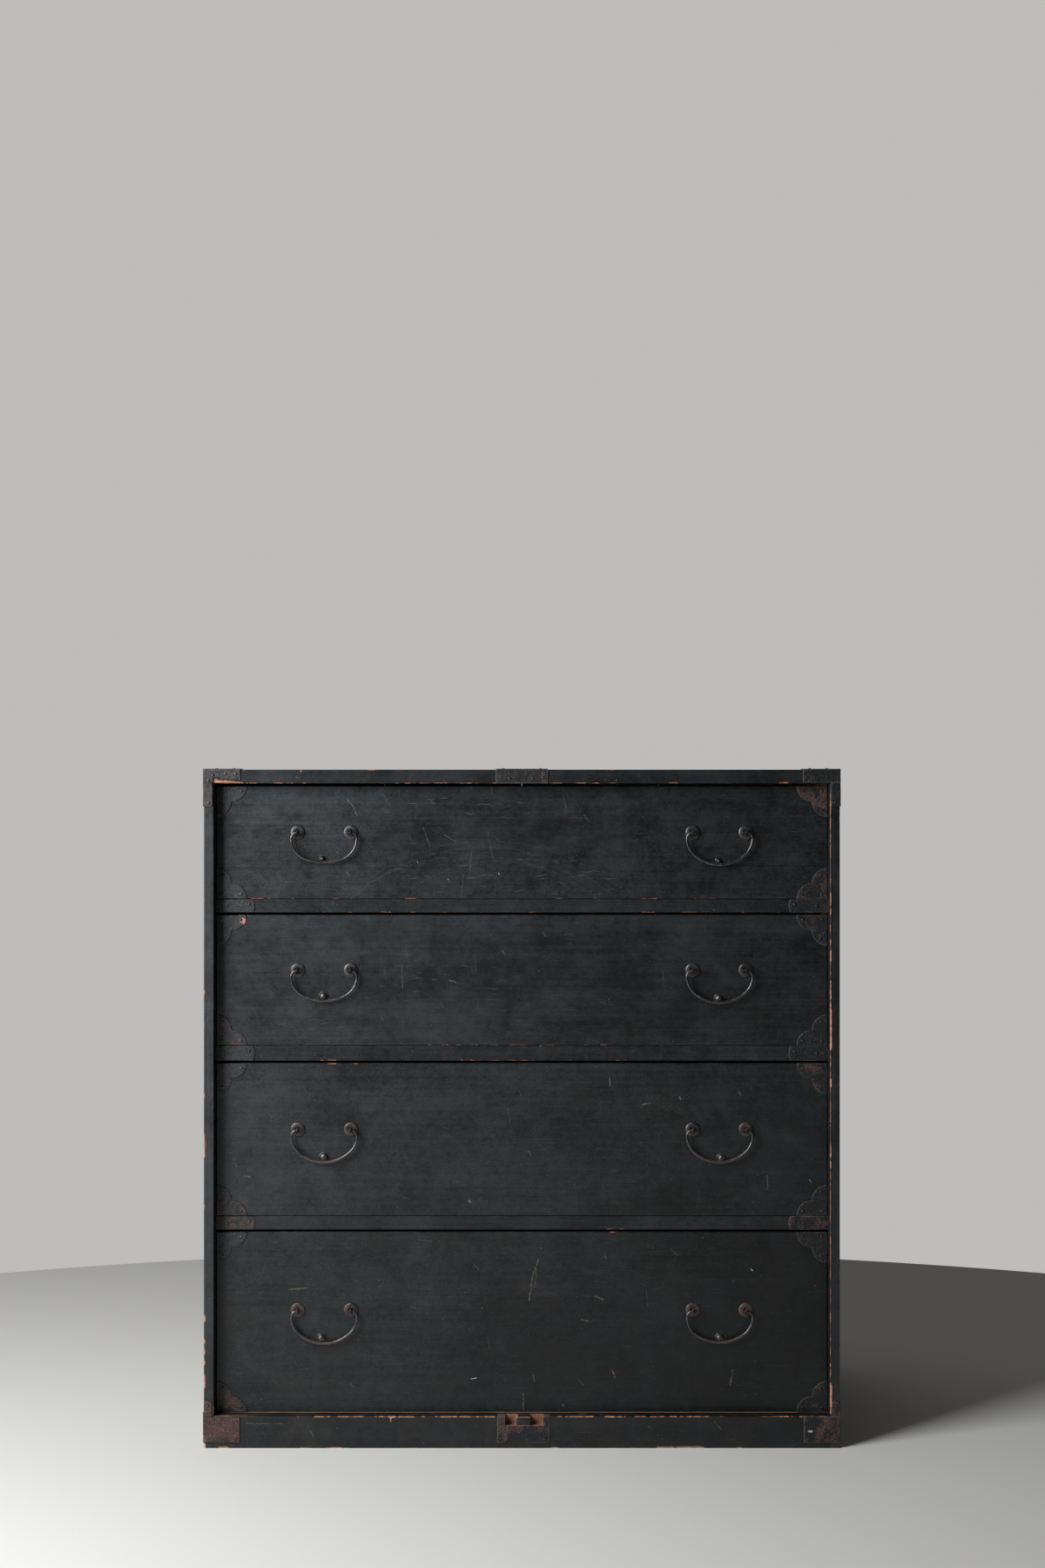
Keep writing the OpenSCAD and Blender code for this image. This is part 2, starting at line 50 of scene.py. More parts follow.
HW, YF, YB, YD = 440.0, -215.0, 215.0, -195.0
XI, XD = 426.5, 425.5
ZT, ZH = 919.5, 938.5
BASE_H = 44.0
FINGER = 430.0 / 7
LOWS = [758.8, 554.8, 317.7, 44.6]
FRONTS = [156.7, 181.3, 212.1, 250.3]
RAILS = [739.7, 533.4, 298.3]
RAIL_T = [18.5, 20.8, 18.8]
EYE_Z = [851.15, 659.45, 437.75, 186.25]
HANDLE_X, EYE = 275.0, 37.0
STUDS = {1: ((-2.6, 36.8, 3.4), (-1.0, 39.6, 3.4)), 2: ((-0.6, 37.0, 5.6), (0.4, 39.8, 5.8)),
         3: ((0, 39.0, 5.8), (4.2, 40.6, 6)), 4: ((-3.4, 40.2, 6), (1.6, 39.0, 5.8))}
BAIL_MORE = {1: (-0.9, 2.6), 2: (0, 2.6), 3: (2.6, 2.8), 4: (3.0, 1.4)}


def box_mm(node):
    lo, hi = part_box(node)
    return np.array(lo) * 1000, np.array(hi) * 1000


def px(x, y=None):
    """A place on the front plane of the case, from the picture's frame."""
    X = (x - 599.25) * 1.2047
    return X if y is None else (X, (1662.5 - y) * 1.2047)


def pd(x, y=None):
    """The same on the plane of the drawer fronts."""
    X = (x - 599.25) * 1.2127
    return X if y is None else (X, 918.6 - (y - 900) * 1.2127)


# ---------------------------------------------------------------- numbers


def vhash(i, j, k, seed):
    n = (i * 374761393 + j * 668265263 + k * 1442695041 + seed * 1274126177) & 0xFFFFFFFF
    n = ((n ^ (n >> 13)) * 1274126177) & 0xFFFFFFFF
    n = n ^ (n >> 16)
    return (n & 0xFFFFFF) / float(0xFFFFFF)


def vnoise(p, scale, seed=0):
    """Smooth value noise from -1 to 1 at points p; scale is one number or three."""
    q = np.asarray(p, float) / np.asarray(scale, float)
    i = np.floor(q).astype(np.int64)
    f = q - i
    f = f * f * (3 - 2 * f)
    out = np.zeros(len(q))
    for dx in (0, 1):
        wx = f[:, 0] if dx else 1 - f[:, 0]
        for dy in (0, 1):
            wy = f[:, 1] if dy else 1 - f[:, 1]
            for dz in (0, 1):
                wz = f[:, 2] if dz else 1 - f[:, 2]
                out += wx * wy * wz * vhash(i[:, 0] + dx, i[:, 1] + dy, i[:, 2] + dz, seed)
    return out * 2 - 1


def rnd(*key):
    """One number from 0 to 1 for a key of whole numbers."""
    k = list(key) + [0, 0, 0, 0]
    return float(vhash(np.array([k[0] * 131 + 7]), np.array([k[1] * 71 + 3]),
                       np.array([k[2] * 37 + 11]), k[3] + 5)[0])


def smooth(a, b, x):
    t = np.clip((x - a) / (b - a), 0, 1)
    return t * t * (3 - 2 * t)


def chip_field(p, capsules):
    """Largest 1 - distance / width over capsules (x0,y0,z0, x1,y1,z1, width)."""
    out = np.zeros(len(p))
    if not capsules:
        return out
    broken = smooth(-0.35, 0.35, vnoise(p, (7, 40, 7), 5) + 0.6 * vnoise(p, (2.9, 40, 2.9), 6))
    for c in capsules:
        a, b, w = np.array(c[0:3], float), np.array(c[3:6], float), c[6]
        lo, hi = np.minimum(a, b) - w, np.maximum(a, b) + w
        near = np.all((p >= lo) & (p <= hi), axis=1)
        if not near.any():
            continue
        q = p[near]
        d = b - a
        t = np.clip(((q - a) @ d) / max(d @ d, 1e-9), 0, 1)
        dist = np.linalg.norm(q - (a + t[:, None] * d), axis=1)
        got = 1 - dist / w
        if w < 3:
            got = got * (0.25 + 0.95 * broken[near])
        out[near] = np.maximum(out[near], got)
    return out


# ---------------------------------------------------------------- meshes


class Shape:
    """Vertices in mm, faces, and numbers on the vertices."""

    def __init__(self):
        self.v, self.f, self.a, self.n = [], [], {}, 0

    def add(self, verts, faces, **attrs):
        verts = np.asarray(verts, float).reshape(-1, 3)
        self.v.append(verts)
        if isinstance(faces, np.ndarray):
            self.f.append(faces + self.n)
        else:
            for size in (3, 4):
                some = [f for f in faces if len(f) == size]
                if some:
                    self.f.append(np.array(some, int) + self.n)
        for k in set(self.a) | set(attrs):
            col = self.a.setdefault(k, [np.zeros(self.n)])
            col.append(np.broadcast_to(np.asarray(attrs.get(k, 0.0), float), (len(verts),)))
        self.n += len(verts)
        return self

    def turn(self):
        """Turns every face over, as after mirroring."""
        self.f = [f[:, ::-1] for f in self.f]
        return self

    def volume(self):
        v, total = np.concatenate(self.v), 0.0
        v = v - v.mean(0)
        for f in self.f:
            for k in range(1, f.shape[1] - 1):
                total += np.einsum("ij,ij->i", v[f[:, 0]], np.cross(v[f[:, k]], v[f[:, k + 1]])).sum()
        return total

    def merge(self, other, **attrs):
        """Adds another shape's vertices and faces, with these numbers on them."""
        v, base = np.concatenate(other.v), self.n
        self.add(v, [], **attrs)
        self.f += [f + base for f in other.f]
        return self

    def make(self, name, material, body, slot, *nodes, sharp=None):
        v = np.concatenate(self.v)
        me = bpy.data.meshes.new(name)
        me.from_pydata((v * 0.001).tolist(), [], [f for part in self.f for f in part.tolist()])
        me.update()
        me.polygons.foreach_set("use_smooth", np.ones(len(me.polygons), bool))
        for k, cols in self.a.items():
            attribute = me.attributes.new(k, "FLOAT", "POINT")
            attribute.data.foreach_set("value", np.concatenate(cols).astype(np.float32))
        if sharp:
            me.set_sharp_from_angle(angle=math.radians(sharp))
        me.materials.append(material)
        o = bpy.data.objects.new(name, me)
        bpy.context.scene.collection.objects.link(o)
        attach(o, body)
        if nodes:
            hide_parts(*nodes)
        return o


FINE = (0, 0.3, 0.65, 1.1, 1.7, 2.5, 3.6, 5.2, 7.6, 11)


def lines(a, b, step, marks=(), fine=FINE):
    """Lattice lines from a to b, close together near both ends."""
    half = (b - a) / 2
    got = [a, b]
    got += [a + d for d in fine if d < half] + [b - d for d in fine if d < half]
    inner = min(fine[-1], half)
    n = int(max(0, (b - a - 2 * inner) / step))
    if n > 0:
        got += list(np.linspace(a + inner, b - inner, n + 1))
    got = [g for g in got if a <= g <= b]
    marks = [m for m in marks if a < m < b] + [a, b]
    got = [g for g in got if all(abs(g - m) > 0.12 for m in marks)] + list(marks)
    got = sorted(set(round(g, 4) for g in got))
    out = [got[0]]
    for g in got[1:]:
        if g - out[-1] > 0.02:
            out.append(g)
    return np.array(out)


def lattice(xs, ys, zs, occ):
    """Closed surface of the occupied cells of a lattice: vertices and quads."""
    nx, ny, nz = len(xs), len(ys), len(zs)
    pad = np.zeros((nx + 1, ny + 1, nz + 1), bool)
    pad[1:-1, 1:-1, 1:-1] = occ

    def idx(i, j, k):
        return (i * ny + j) * nz + k

    quads = []
    a, b = pad[:-1, 1:-1, 1:-1], pad[1:, 1:-1, 1:-1]
    for mask, flip in ((a & ~b, False), (~a & b, True)):
        i, j, k = np.nonzero(mask)
        q = np.stack([idx(i, j, k), idx(i, j + 1, k), idx(i, j + 1, k + 1), idx(i, j, k + 1)], 1)
        quads.append(q[:, ::-1] if flip else q)
    a, b = pad[1:-1, :-1, 1:-1], pad[1:-1, 1:, 1:-1]
    for mask, flip in ((a & ~b, False), (~a & b, True)):
        i, j, k = np.nonzero(mask)
        q = np.stack([idx(i, j, k), idx(i, j, k + 1), idx(i + 1, j, k + 1), idx(i + 1, j, k)], 1)
        quads.append(q[:, ::-1] if flip else q)
    a, b = pad[1:-1, 1:-1, :-1], pad[1:-1, 1:-1, 1:]
    for mask, flip in ((a & ~b, False), (~a & b, True)):
        i, j, k = np.nonzero(mask)
        q = np.stack([idx(i, j, k), idx(i + 1, j, k), idx(i + 1, j + 1, k), idx(i, j + 1, k)], 1)
        quads.append(q[:, ::-1] if flip else q)
    quads = np.concatenate(quads)
    used, inv = np.unique(quads.ravel(), return_inverse=True)
    i, j, k = used // (ny * nz), (used // nz) % ny, used % nz
    return np.stack([xs[i], ys[j], zs[k]], 1), inv.reshape(-1, 4)


def round_box(p, lo, hi, r):
    """Pulls in what stands outside the box's rounded edges."""
    r = np.asarray(r, float)
    r = np.broadcast_to(r, (len(p),))[:, None]
    c = np.minimum(np.maximum(p, lo + r), hi - r)
    d = p - c
    n = np.linalg.norm(d, axis=1)[:, None]
    return np.where(n > r, c + d * (r / np.maximum(n, 1e-9)), p)


def edge_dist(p, lo, hi):
    d = np.sort(np.minimum(np.abs(p - lo), np.abs(hi - p)), axis=1)
    return np.clip(d[:, 1], 0, 14)


def board(shape, lo, hi, steps=(3, 14, 14), cuts=(), add=(), r=0.5, wob=0.25, chips=(), seed=0,
          ref=None, sharp_where=None, depth=1.0, seat=None):
    """Adds a board with worn arrises to shape. cuts are boxes taken away, chips are capsules
    where an arris is broken, ref is the box whose arrises are rounded."""
    lo, hi = np.array(lo, float), np.array(hi, float)
    ref = (lo, hi) if ref is None else (np.array(ref[0], float), np.array(ref[1], float))
    marks = [[], [], []]
    for c in cuts:
        for k in range(3):
            marks[k] += [c[0][k], c[1][k]]
    if seat is not None:
        for k in range(3):
            marks[k] += list(seat[k])
    ls = [lines(lo[k], hi[k], steps[k], marks[k]) for k in range(3)]
    mid = [(l[1:] + l[:-1]) / 2 for l in ls]
    occ = np.ones([len(m) for m in mid], bool)
    for c in cuts:
        inside = [(m > c[0][k]) & (m < c[1][k]) for k, m in enumerate(mid)]
        occ &= ~(inside[0][:, None, None] & inside[1][None, :, None] & inside[2][None, None, :])
    v, q = lattice(*ls, occ)
    e = edge_dist(v, *ref)
    chip = chip_field(v, chips)
    ragged = chip + 0.28 * vnoise(v, (5, 5, 3), seed + 9) * (chip > 0)
    rr = r * (1 + wob * vnoise(v, (31, 31, 31), seed) + wob * 0.8 * vnoise(v, (8, 8, 8), seed + 1))
    rr = np.clip(rr, 0.08, 3.0)
    if sharp_where is not None:
        rr = np.where(sharp_where(v), 0.14, rr)
    out = round_box(v, ref[0], ref[1], rr)
    # a chip takes wood away towards the inside of the board
    gone = np.clip(ragged - 0.35, 0, 1) * depth
    if gone.any():
        w = np.minimum(np.maximum(v, ref[0] + 3), ref[1] - 3) - v
        n = np.linalg.norm(w, axis=1)[:, None]
        out = out + np.where(n > 0, w / np.maximum(n, 1e-9), 0) * np.minimum(gone[:, None] * 2.2, n * 0.5)
    shape.add(out, q, edge=e, chip=chip)
    return shape


def lathe(shape, profile, seg, place, closed=False, jitter=0.0, seed=0, **attrs):
    """Spins (radius, height) pairs about the axis. An open profile starts and ends on the axis.
    place maps local points (height along +Z) to the row frame."""
    prof = [p for p in profile]
    ang = np.linspace(0, 2 * math.pi, seg, endpoint=False)
    verts, rows = [], []
    for i, (rad, h) in enumerate(prof):
        if rad <= 1e-6:
            rows.append([len(verts)])
            verts.append((0, 0, h))
        else:
            rows.append(list(range(len(verts), len(verts) + seg)))
            for t, a in enumerate(ang):
                verts.append((rad * math.cos(a), rad * math.sin(a), h))
    faces = []
    if jitter:
        verts = np.array(verts, float)
        k = 1 + jitter * vnoise(verts * [1, 1, 0] + [0, 0, seed * 3.7], 1.3, seed)
        verts[:, :2] *= k[:, None]
    pairs = list(zip(rows[:-1], rows[1:]))
    if closed:
        pairs.append((rows[-1], rows[0]))
    for A, B in pairs:
        for t in range(seg):
            u = (t + 1) % seg
            if len(A) == 1 and len(B) == 1:
                continue
            if len(A) == 1:
                faces.append((A[0], B[t], B[u]))
            elif len(B) == 1:
                faces.append((A[t], B[0], A[u]))
            else:
                faces.append((A[t], B[t], B[u], A[u]))
    v = place(np.array(verts, float))
    shape.add(v, faces, **attrs)
    return shape


def placer(origin, normal, tilt=(0, 0), spin=0.0):
    """Puts local +Z along normal at origin; tilt in degrees."""
    n = Vector(normal).normalized()
    side = Vector((0, 0, 1)) if abs(n.z) < 0.9 else Vector((1, 0, 0))
    u = side.cross(n).normalized()
    w = n.cross(u).normalized()
    tx, ty = math.radians(tilt[0]), math.radians(tilt[1])
    n2 = (n + u * math.tan(tx) + w * math.tan(ty)).normalized()
    u2 = (u - n2 * u.dot(n2)).normalized()
    w2 = n2.cross(u2)
    c, s = math.cos(spin), math.sin(spin)
    M = np.array([list(u2 * c + w2 * s), list(w2 * c - u2 * s), list(n2)])
    o = np.array(origin, float)
    return lambda p: p @ M + o


def tube(shape, path, radii, sides=12, flat=None, up=(0, 1, 0), hammer=0.0, seed=0, **attrs):
    """Closed rod along a path, its radius given at each point. flat scales it across the plane."""
    path = np.asarray(path, float)
    n = len(path)
    radii = np.broadcast_to(np.asarray(radii, float), (n,)).copy()
    tan = np.gradient(path, axis=0)
    tan /= np.linalg.norm(tan, axis=1)[:, None]
    up = np.array(up, float)
    a = up - (tan @ up)[:, None] * tan
    a /= np.maximum(np.linalg.norm(a, axis=1), 1e-9)[:, None]
    b = np.cross(tan, a)
    ang = np.linspace(0, 2 * math.pi, sides, endpoint=False)
    fl = 1.0 if flat is None else flat
    rings = []
    for i in range(n):
        k = np.ones(sides)
        if hammer:
            q = path[i] + np.outer(np.cos(ang), a[i]) * 3 + np.outer(np.sin(ang), b[i]) * 3
            k = 1 + hammer * vnoise(q, 3.2, seed)
        rings.append(path[i] + radii[i] * (np.outer(np.cos(ang) * k, a[i]) * fl + np.outer(np.sin(ang) * k, b[i])))
    v = np.concatenate(rings + [path[:1] - tan[:1] * radii[0] * 0.35, path[-1:] + tan[-1:] * radii[-1] * 0.35])
    f = []
    for i in range(n - 1):
        for t in range(sides):
            u = (t + 1) % sides
            f.append((i * sides + t, i * sides + u, (i + 1) * sides + u, (i + 1) * sides + t))
    s0, s1 = n * sides, n * sides + 1
    for t in range(sides):
        u = (t + 1) % sides
        f.append((s0, u, t))
        f.append((s1, (n - 1) * sides + t, (n - 1) * sides + u))
    shape.add(v, f, **attrs)
    return shape


def sheet_plate(shape, outline, centre, y, t, place=None, seed=0, wave=0.35, bump=0.12, rust=0.3, rings=7):
    """Thin nailed plate with an irregular rim, from an outline in x, z that the centre sees
    whole. Its back lies on the plane y, its front stands t before it."""
    o = np.array(outline, float)
    c = np.array(centre, float)
    p3 = np.stack([o[:, 0], np.full(len(o), float(seed) * 7), o[:, 1]], 1)
    d = o - c
    n = np.linalg.norm(d, axis=1)
    out = d / n[:, None]
    o = o - out * (wave * (0.55 + 0.45 * vnoise(p3, 4.0, seed) + 0.3 * vnoise(p3, 1.7, seed + 2)))[:, None]
    d = o - c
    n = np.linalg.norm(d, axis=1)
    levels = [(1.0, 0.0)]                       # rim on the wood
    inset = [(0.0, 0.72), (0.25, 0.95), (0.8, 1.0)]
    verts, m = [], len(o)
    verts.append(np.stack([o[:, 0], np.full(m, y), o[:, 1]], 1))
    for ins, h in inset:
        q = c + d * (1 - ins / n)[:, None]
        verts.append(np.stack([q[:, 0], np.full(m, y - t * h), q[:, 1]], 1))
    for k in range(1, rings):
        s = 1 - k / rings
        q = c + (d * (1 - 0.8 / n)[:, None]) * s
        verts.append(np.stack([q[:, 0], np.full(m, y - t), q[:, 1]], 1))
    rows = len(verts)
    v = np.concatenate(verts)
    top = v[:, 1] < y - t * 0.9
    q = np.stack([v[:, 0], np.full(len(v), seed * 13.0), v[:, 2]], 1)
    v[:, 1] += np.where(top, bump * (0.5 + 0.5 * vnoise(q, 6, seed + 5)) + bump * 0.5 * (1 + vnoise(q, 2.2, seed + 6)) * 0.5, 0)
    v = np.concatenate([v, [[c[0], y - t + bump * 0.6, c[1]]], [[c[0], y, c[1]]]])
    f = []
    for i in range(rows - 1):
        for j in range(m):
            u = (j + 1) % m
            f.append((i * m + j, i * m + u, (i + 1) * m + u, (i + 1) * m + j))
    tip, back = rows * m, rows * m + 1
    for j in range(m):
        u = (j + 1) % m
        f.append(((rows - 1) * m + j, (rows - 1) * m + u, tip))
        f.append((j, back, u))
    # counter-clockwise seen from the front
    area = np.sum(o[:, 0] * np.roll(o[:, 1], -1) - np.roll(o[:, 0], -1) * o[:, 1])
    if area < 0:
        f = [tuple(reversed(x)) for x in f]
    rim = np.concatenate([np.full(m, 0.0)] + [np.full(m, x[0] + 0.2) for x in inset]
                         + [np.clip(n * k / rings, 0, 9) for k in range(1, rings)] + [[9.0], [9.0]])
    if place is not None:
        v = place(v)
    shape.add(v, f, edge=rim, rust=rust)
    return shape


def sheet_lattice(shape, boxes, cuts=(), step=1.6, seed=0, wave=0.35, dent=0.12, ref=None, r=1.2, rust=0.3,
                  bite=None, lo_clip=None, hi_clip=None):
    """Bent thin sheet: the union of boxes less the cuts, with a wavy rim and a few dents."""
    marks = [[], [], []]
    for b in list(boxes) + list(cuts):
        for k in range(3):
            marks[k] += [b[0][k], b[1][k]]
    ls = []
    for k in range(3):
        a, z = min(b[0][k] for b in boxes), max(b[1][k] for b in boxes)
        ls.append(lines(a, z, step, marks[k], fine=(0, 0.4, 1.0)))
    mid = [(l[1:] + l[:-1]) / 2 for l in ls]
    occ = np.zeros([len(m) for m in mid], bool)
    for b in boxes:
        inside = [(m > b[0][k]) & (m < b[1][k]) for k, m in enumerate(mid)]
        occ |= inside[0][:, None, None] & inside[1][None, :, None] & inside[2][None, None, :]
    for b in cuts:
        inside = [(m > b[0][k]) & (m < b[1][k]) for k, m in enumerate(mid)]
        occ &= ~(inside[0][:, None, None] & inside[1][None, :, None] & inside[2][None, None, :])
    if bite is not None:
        X, Y, Z = np.meshgrid(*mid, indexing="ij")
        occ &= ~bite(X, Y, Z)
    v, q = lattice(*ls, occ)
    if ref is not None:
        v2 = round_box(v, np.array(ref[0], float), np.array(ref[1], float), r)
    else:
        v2 = v.copy()
    g = np.stack([vnoise(v, 7.0, seed + k) * 0.7 + vnoise(v, 2.6, seed + 5 + k) * 0.45 for k in range(3)], 1)
    v2 = v2 + g * wave
    lo = np.array([min(b[0][k] for b in boxes) for k in range(3)], float)
    hi = np.array([max(b[1][k] for b in boxes) for k in range(3)], float)
    # what lies on the wood stays on it; the outer face only dents inwards
    shape.add(np.minimum(np.maximum(v2, lo if lo_clip is None else lo_clip), hi if hi_clip is None else hi_clip), q,
              edge=5.0, rust=rust)
    return shape, v, v2


# ---------------------------------------------------------------- materials


class Mat:
    """A node material, built with short calls that return sockets."""

    def __init__(self, name):
        self.m = bpy.data.materials.new(name)
        self.m.use_nodes = True
        self.t = self.m.node_tree
        self.t.nodes.clear()
        self.out = self.t.nodes.new("ShaderNodeOutputMaterial")
        self.bsdf = self.t.nodes.new("ShaderNodeBsdfPrincipled")
        self.t.links.new(self.bsdf.outputs[0], self.out.inputs[0])
        co = self.t.nodes.new("ShaderNodeTexCoord")
        self.P = self.vec("SCALE", co.outputs["Object"], scale=1000.0)
        self.normal = co.outputs["Normal"]

    def put(self, socket, value):
        if isinstance(value, bpy.types.NodeSocket):
            self.t.links.new(value, socket)
        elif value is not None:
            if hasattr(socket.default_value, "__len__") and not hasattr(value, "__len__"):
                value = [value] * len(socket.default_value)
            if hasattr(value, "__len__") and len(value) == 3 and len(socket.default_value) == 4:
                value = (*value, 1.0)
            socket.default_value = value

    def vec(self, op, a, b=None, scale=None, c=None):
        n = self.t.nodes.new("ShaderNodeVectorMath")
        n.operation = op
        self.put(n.inputs[0], a)
        if b is not None:
            self.put(n.inputs[1], b)
        if c is not None:
            self.put(n.inputs[2], c)
        if scale is not None:
            self.put(n.inputs["Scale"], scale)
        return n.outputs["Value"] if op in ("DOT_PRODUCT", "LENGTH", "DISTANCE") else n.outputs["Vector"]

    def math(self, op, a, b=None, c=None, clamp=False):
        n = self.t.nodes.new("ShaderNodeMath")
        n.operation = op
        n.use_clamp = clamp
        self.put(n.inputs[0], a)
        if b is not None:
            self.put(n.inputs[1], b)
        if c is not None:
            self.put(n.inputs[2], c)
        return n.outputs[0]

    def mul(self, a, b):
        return self.math("MULTIPLY", a, b)

    def add(self, a, b, clamp=False):
        return self.math("ADD", a, b, clamp=clamp)

    def sub(self, a, b):
        return self.math("SUBTRACT", a, b)

    def step(self, v, a, b, lo=0.0, hi=1.0, kind="SMOOTHSTEP"):
        n = self.t.nodes.new("ShaderNodeMapRange")
        n.interpolation_type = kind
        n.clamp = True
        for i, x in enumerate((v, a, b, lo, hi)):
            self.put(n.inputs[i], x)
        return n.outputs[0]

    def mix(self, f, a, b, kind="MIX"):
        n = self.t.nodes.new("ShaderNodeMix")
        n.data_type = "RGBA"
        n.blend_type = kind
        self.put(n.inputs[0], f)
        self.put(n.inputs[6], a)
        self.put(n.inputs[7], b)
        return n.outputs[2]

    def scaled(self, s, offset=(0, 0, 0), rot=None, p=None):
        n = self.t.nodes.new("ShaderNodeMapping")
        n.vector_type = "POINT"
        self.put(n.inputs[0], self.P if p is None else p)
        n.inputs["Location"].default_value = offset
        n.inputs["Scale"].default_value = s if hasattr(s, "__len__") else (s, s, s)
        if rot:
            n.inputs["Rotation"].default_value = [math.radians(x) for x in rot]
        return n.outputs[0]

    def noise(self, s, detail=3.0, rough=0.55, dist=0.0, offset=(0, 0, 0), p=None, rot=None):
        """Noise whose features are about 1/s mm; s is one number or three."""
        n = self.t.nodes.new("ShaderNodeTexNoise")
        n.inputs["Scale"].default_value = 1.0
        n.inputs["Detail"].default_value = detail
        n.inputs["Roughness"].default_value = rough
        n.inputs["Distortion"].default_value = dist
        self.put(n.inputs["Vector"], self.scaled(s, offset, p=p, rot=rot))
        return n.outputs[0]

    def voronoi(self, s, offset=(0, 0, 0), rot=None, p=None, rand=1.0, feature="F1"):
        n = self.t.nodes.new("ShaderNodeTexVoronoi")
        n.feature = feature
        n.inputs["Scale"].default_value = 1.0
        n.inputs["Randomness"].default_value = rand
        self.put(n.inputs["Vector"], self.scaled(s, offset, rot, p))
        return n

    def attr(self, name):
        n = self.t.nodes.new("ShaderNodeAttribute")
        n.attribute_name = name
        return n.outputs["Fac"]

    def bump(self, height, strength, distance, normal=None):
        n = self.t.nodes.new("ShaderNodeBump")
        n.inputs["Strength"].default_value = strength
        n.inputs["Distance"].default_value = distance
        self.put(n.inputs["Height"], height)
        if normal is not None:
            self.put(n.inputs["Normal"], normal)
        return n.outputs[0]

    def set(self, **kw):
        names = dict(color="Base Color", rough="Roughness", metal="Metallic", normal="Normal", spec="Specular IOR Level",
                     coat="Coat Weight", coat_rough="Coat Roughness")
        for k, v in kw.items():
            self.put(self.bsdf.inputs[names[k]], v)
        return self.m

    def stroke(self, a, b, width, p=None, gain=1.0):
        """gain on the line from a to b (mm), falling to 0 at width."""
        a, b = np.array(a, float), np.array(b, float)
        d = b - a
        n = self.t.nodes.new("ShaderNodeGroup")
        n.node_tree = stroke_group()
        self.put(n.inputs["P"], self.P if p is None else p)
        n.inputs["A"].default_value = tuple(a)
        n.inputs["D"].default_value = tuple(d)
        n.inputs["Inv"].default_value = 1.0 / max(float(d @ d), 1e-6)
        n.inputs["Width"].default_value = width
        n.inputs["Gain"].default_value = gain
        return n.outputs[0]

    def ring(self, centre, radius, width, gain=1.0):
        """gain on the circle round centre in the XZ plane, falling to 0 at width."""
        d = self.vec("DISTANCE", self.vec("MULTIPLY", self.P, (1, 0, 1)), (centre[0], 0, centre[2]))
        off = self.math("ABSOLUTE", self.sub(d, radius))
        return self.mul(self.step(off, 0.0, width, 1.0, 0.0, "LINEAR"), gain)


def stroke_group():
    """Node group: how near P is to the line from A along D, 1 to 0 at Width, times Gain."""
    got = bpy.data.node_groups.get("stroke")
    if got:
        return got
    g = bpy.data.node_groups.new("stroke", "ShaderNodeTree")
    for name, kind in (("P", "NodeSocketVector"), ("A", "NodeSocketVector"), ("D", "NodeSocketVector"),
                       ("Inv", "NodeSocketFloat"), ("Width", "NodeSocketFloat"), ("Gain", "NodeSocketFloat")):
        g.interface.new_socket(name, in_out="INPUT", socket_type=kind)
    g.interface.new_socket("Value", in_out="OUTPUT", socket_type="NodeSocketFloat")
    i, o = g.nodes.new("NodeGroupInput"), g.nodes.new("NodeGroupOutput")

    def vm(op, *ins):
        n = g.nodes.new("ShaderNodeVectorMath")
        n.operation = op
        for k, x in enumerate(ins):
            g.links.new(x, n.inputs["Scale"] if op == "SCALE" and k == 1 else n.inputs[k])
        return n.outputs["Value"] if op in ("DOT_PRODUCT", "DISTANCE") else n.outputs["Vector"]

    def mt(op, a, b, clamp=False):
        n = g.nodes.new("ShaderNodeMath")
        n.operation, n.use_clamp = op, clamp
        for k, x in enumerate((a, b)):
            if isinstance(x, float):
                n.inputs[k].default_value = x
            else:
                g.links.new(x, n.inputs[k])
        return n.outputs[0]

    pa = vm("SUBTRACT", i.outputs["P"], i.outputs["A"])
    h = mt("MULTIPLY", vm("DOT_PRODUCT", pa, i.outputs["D"]), i.outputs["Inv"], clamp=True)
    dist = vm("DISTANCE", pa, vm("SCALE", i.outputs["D"], h))
    near = mt("SUBTRACT", 1.35, mt("MULTIPLY", mt("DIVIDE", dist, i.outputs["Width"]), 1.35), clamp=True)
    g.links.new(mt("MULTIPLY", near, i.outputs["Gain"]), o.inputs[0])
    return g


AXIS = {"x": (0, 1, 2), "y": (1, 0, 2), "z": (2, 1, 0)}


def along(axis, long, across):
    """Scale (1/mm) of a grain that runs along an axis."""
    s = [1.0 / across] * 3
    s["xyz".index(axis)] = 1.0 / long
    return tuple(s)


WOOD_HI = (0.56, 0.27, 0.158)
WOOD_LO = (0.22, 0.078, 0.040)
UNDER = (0.075, 0.032, 0.020)


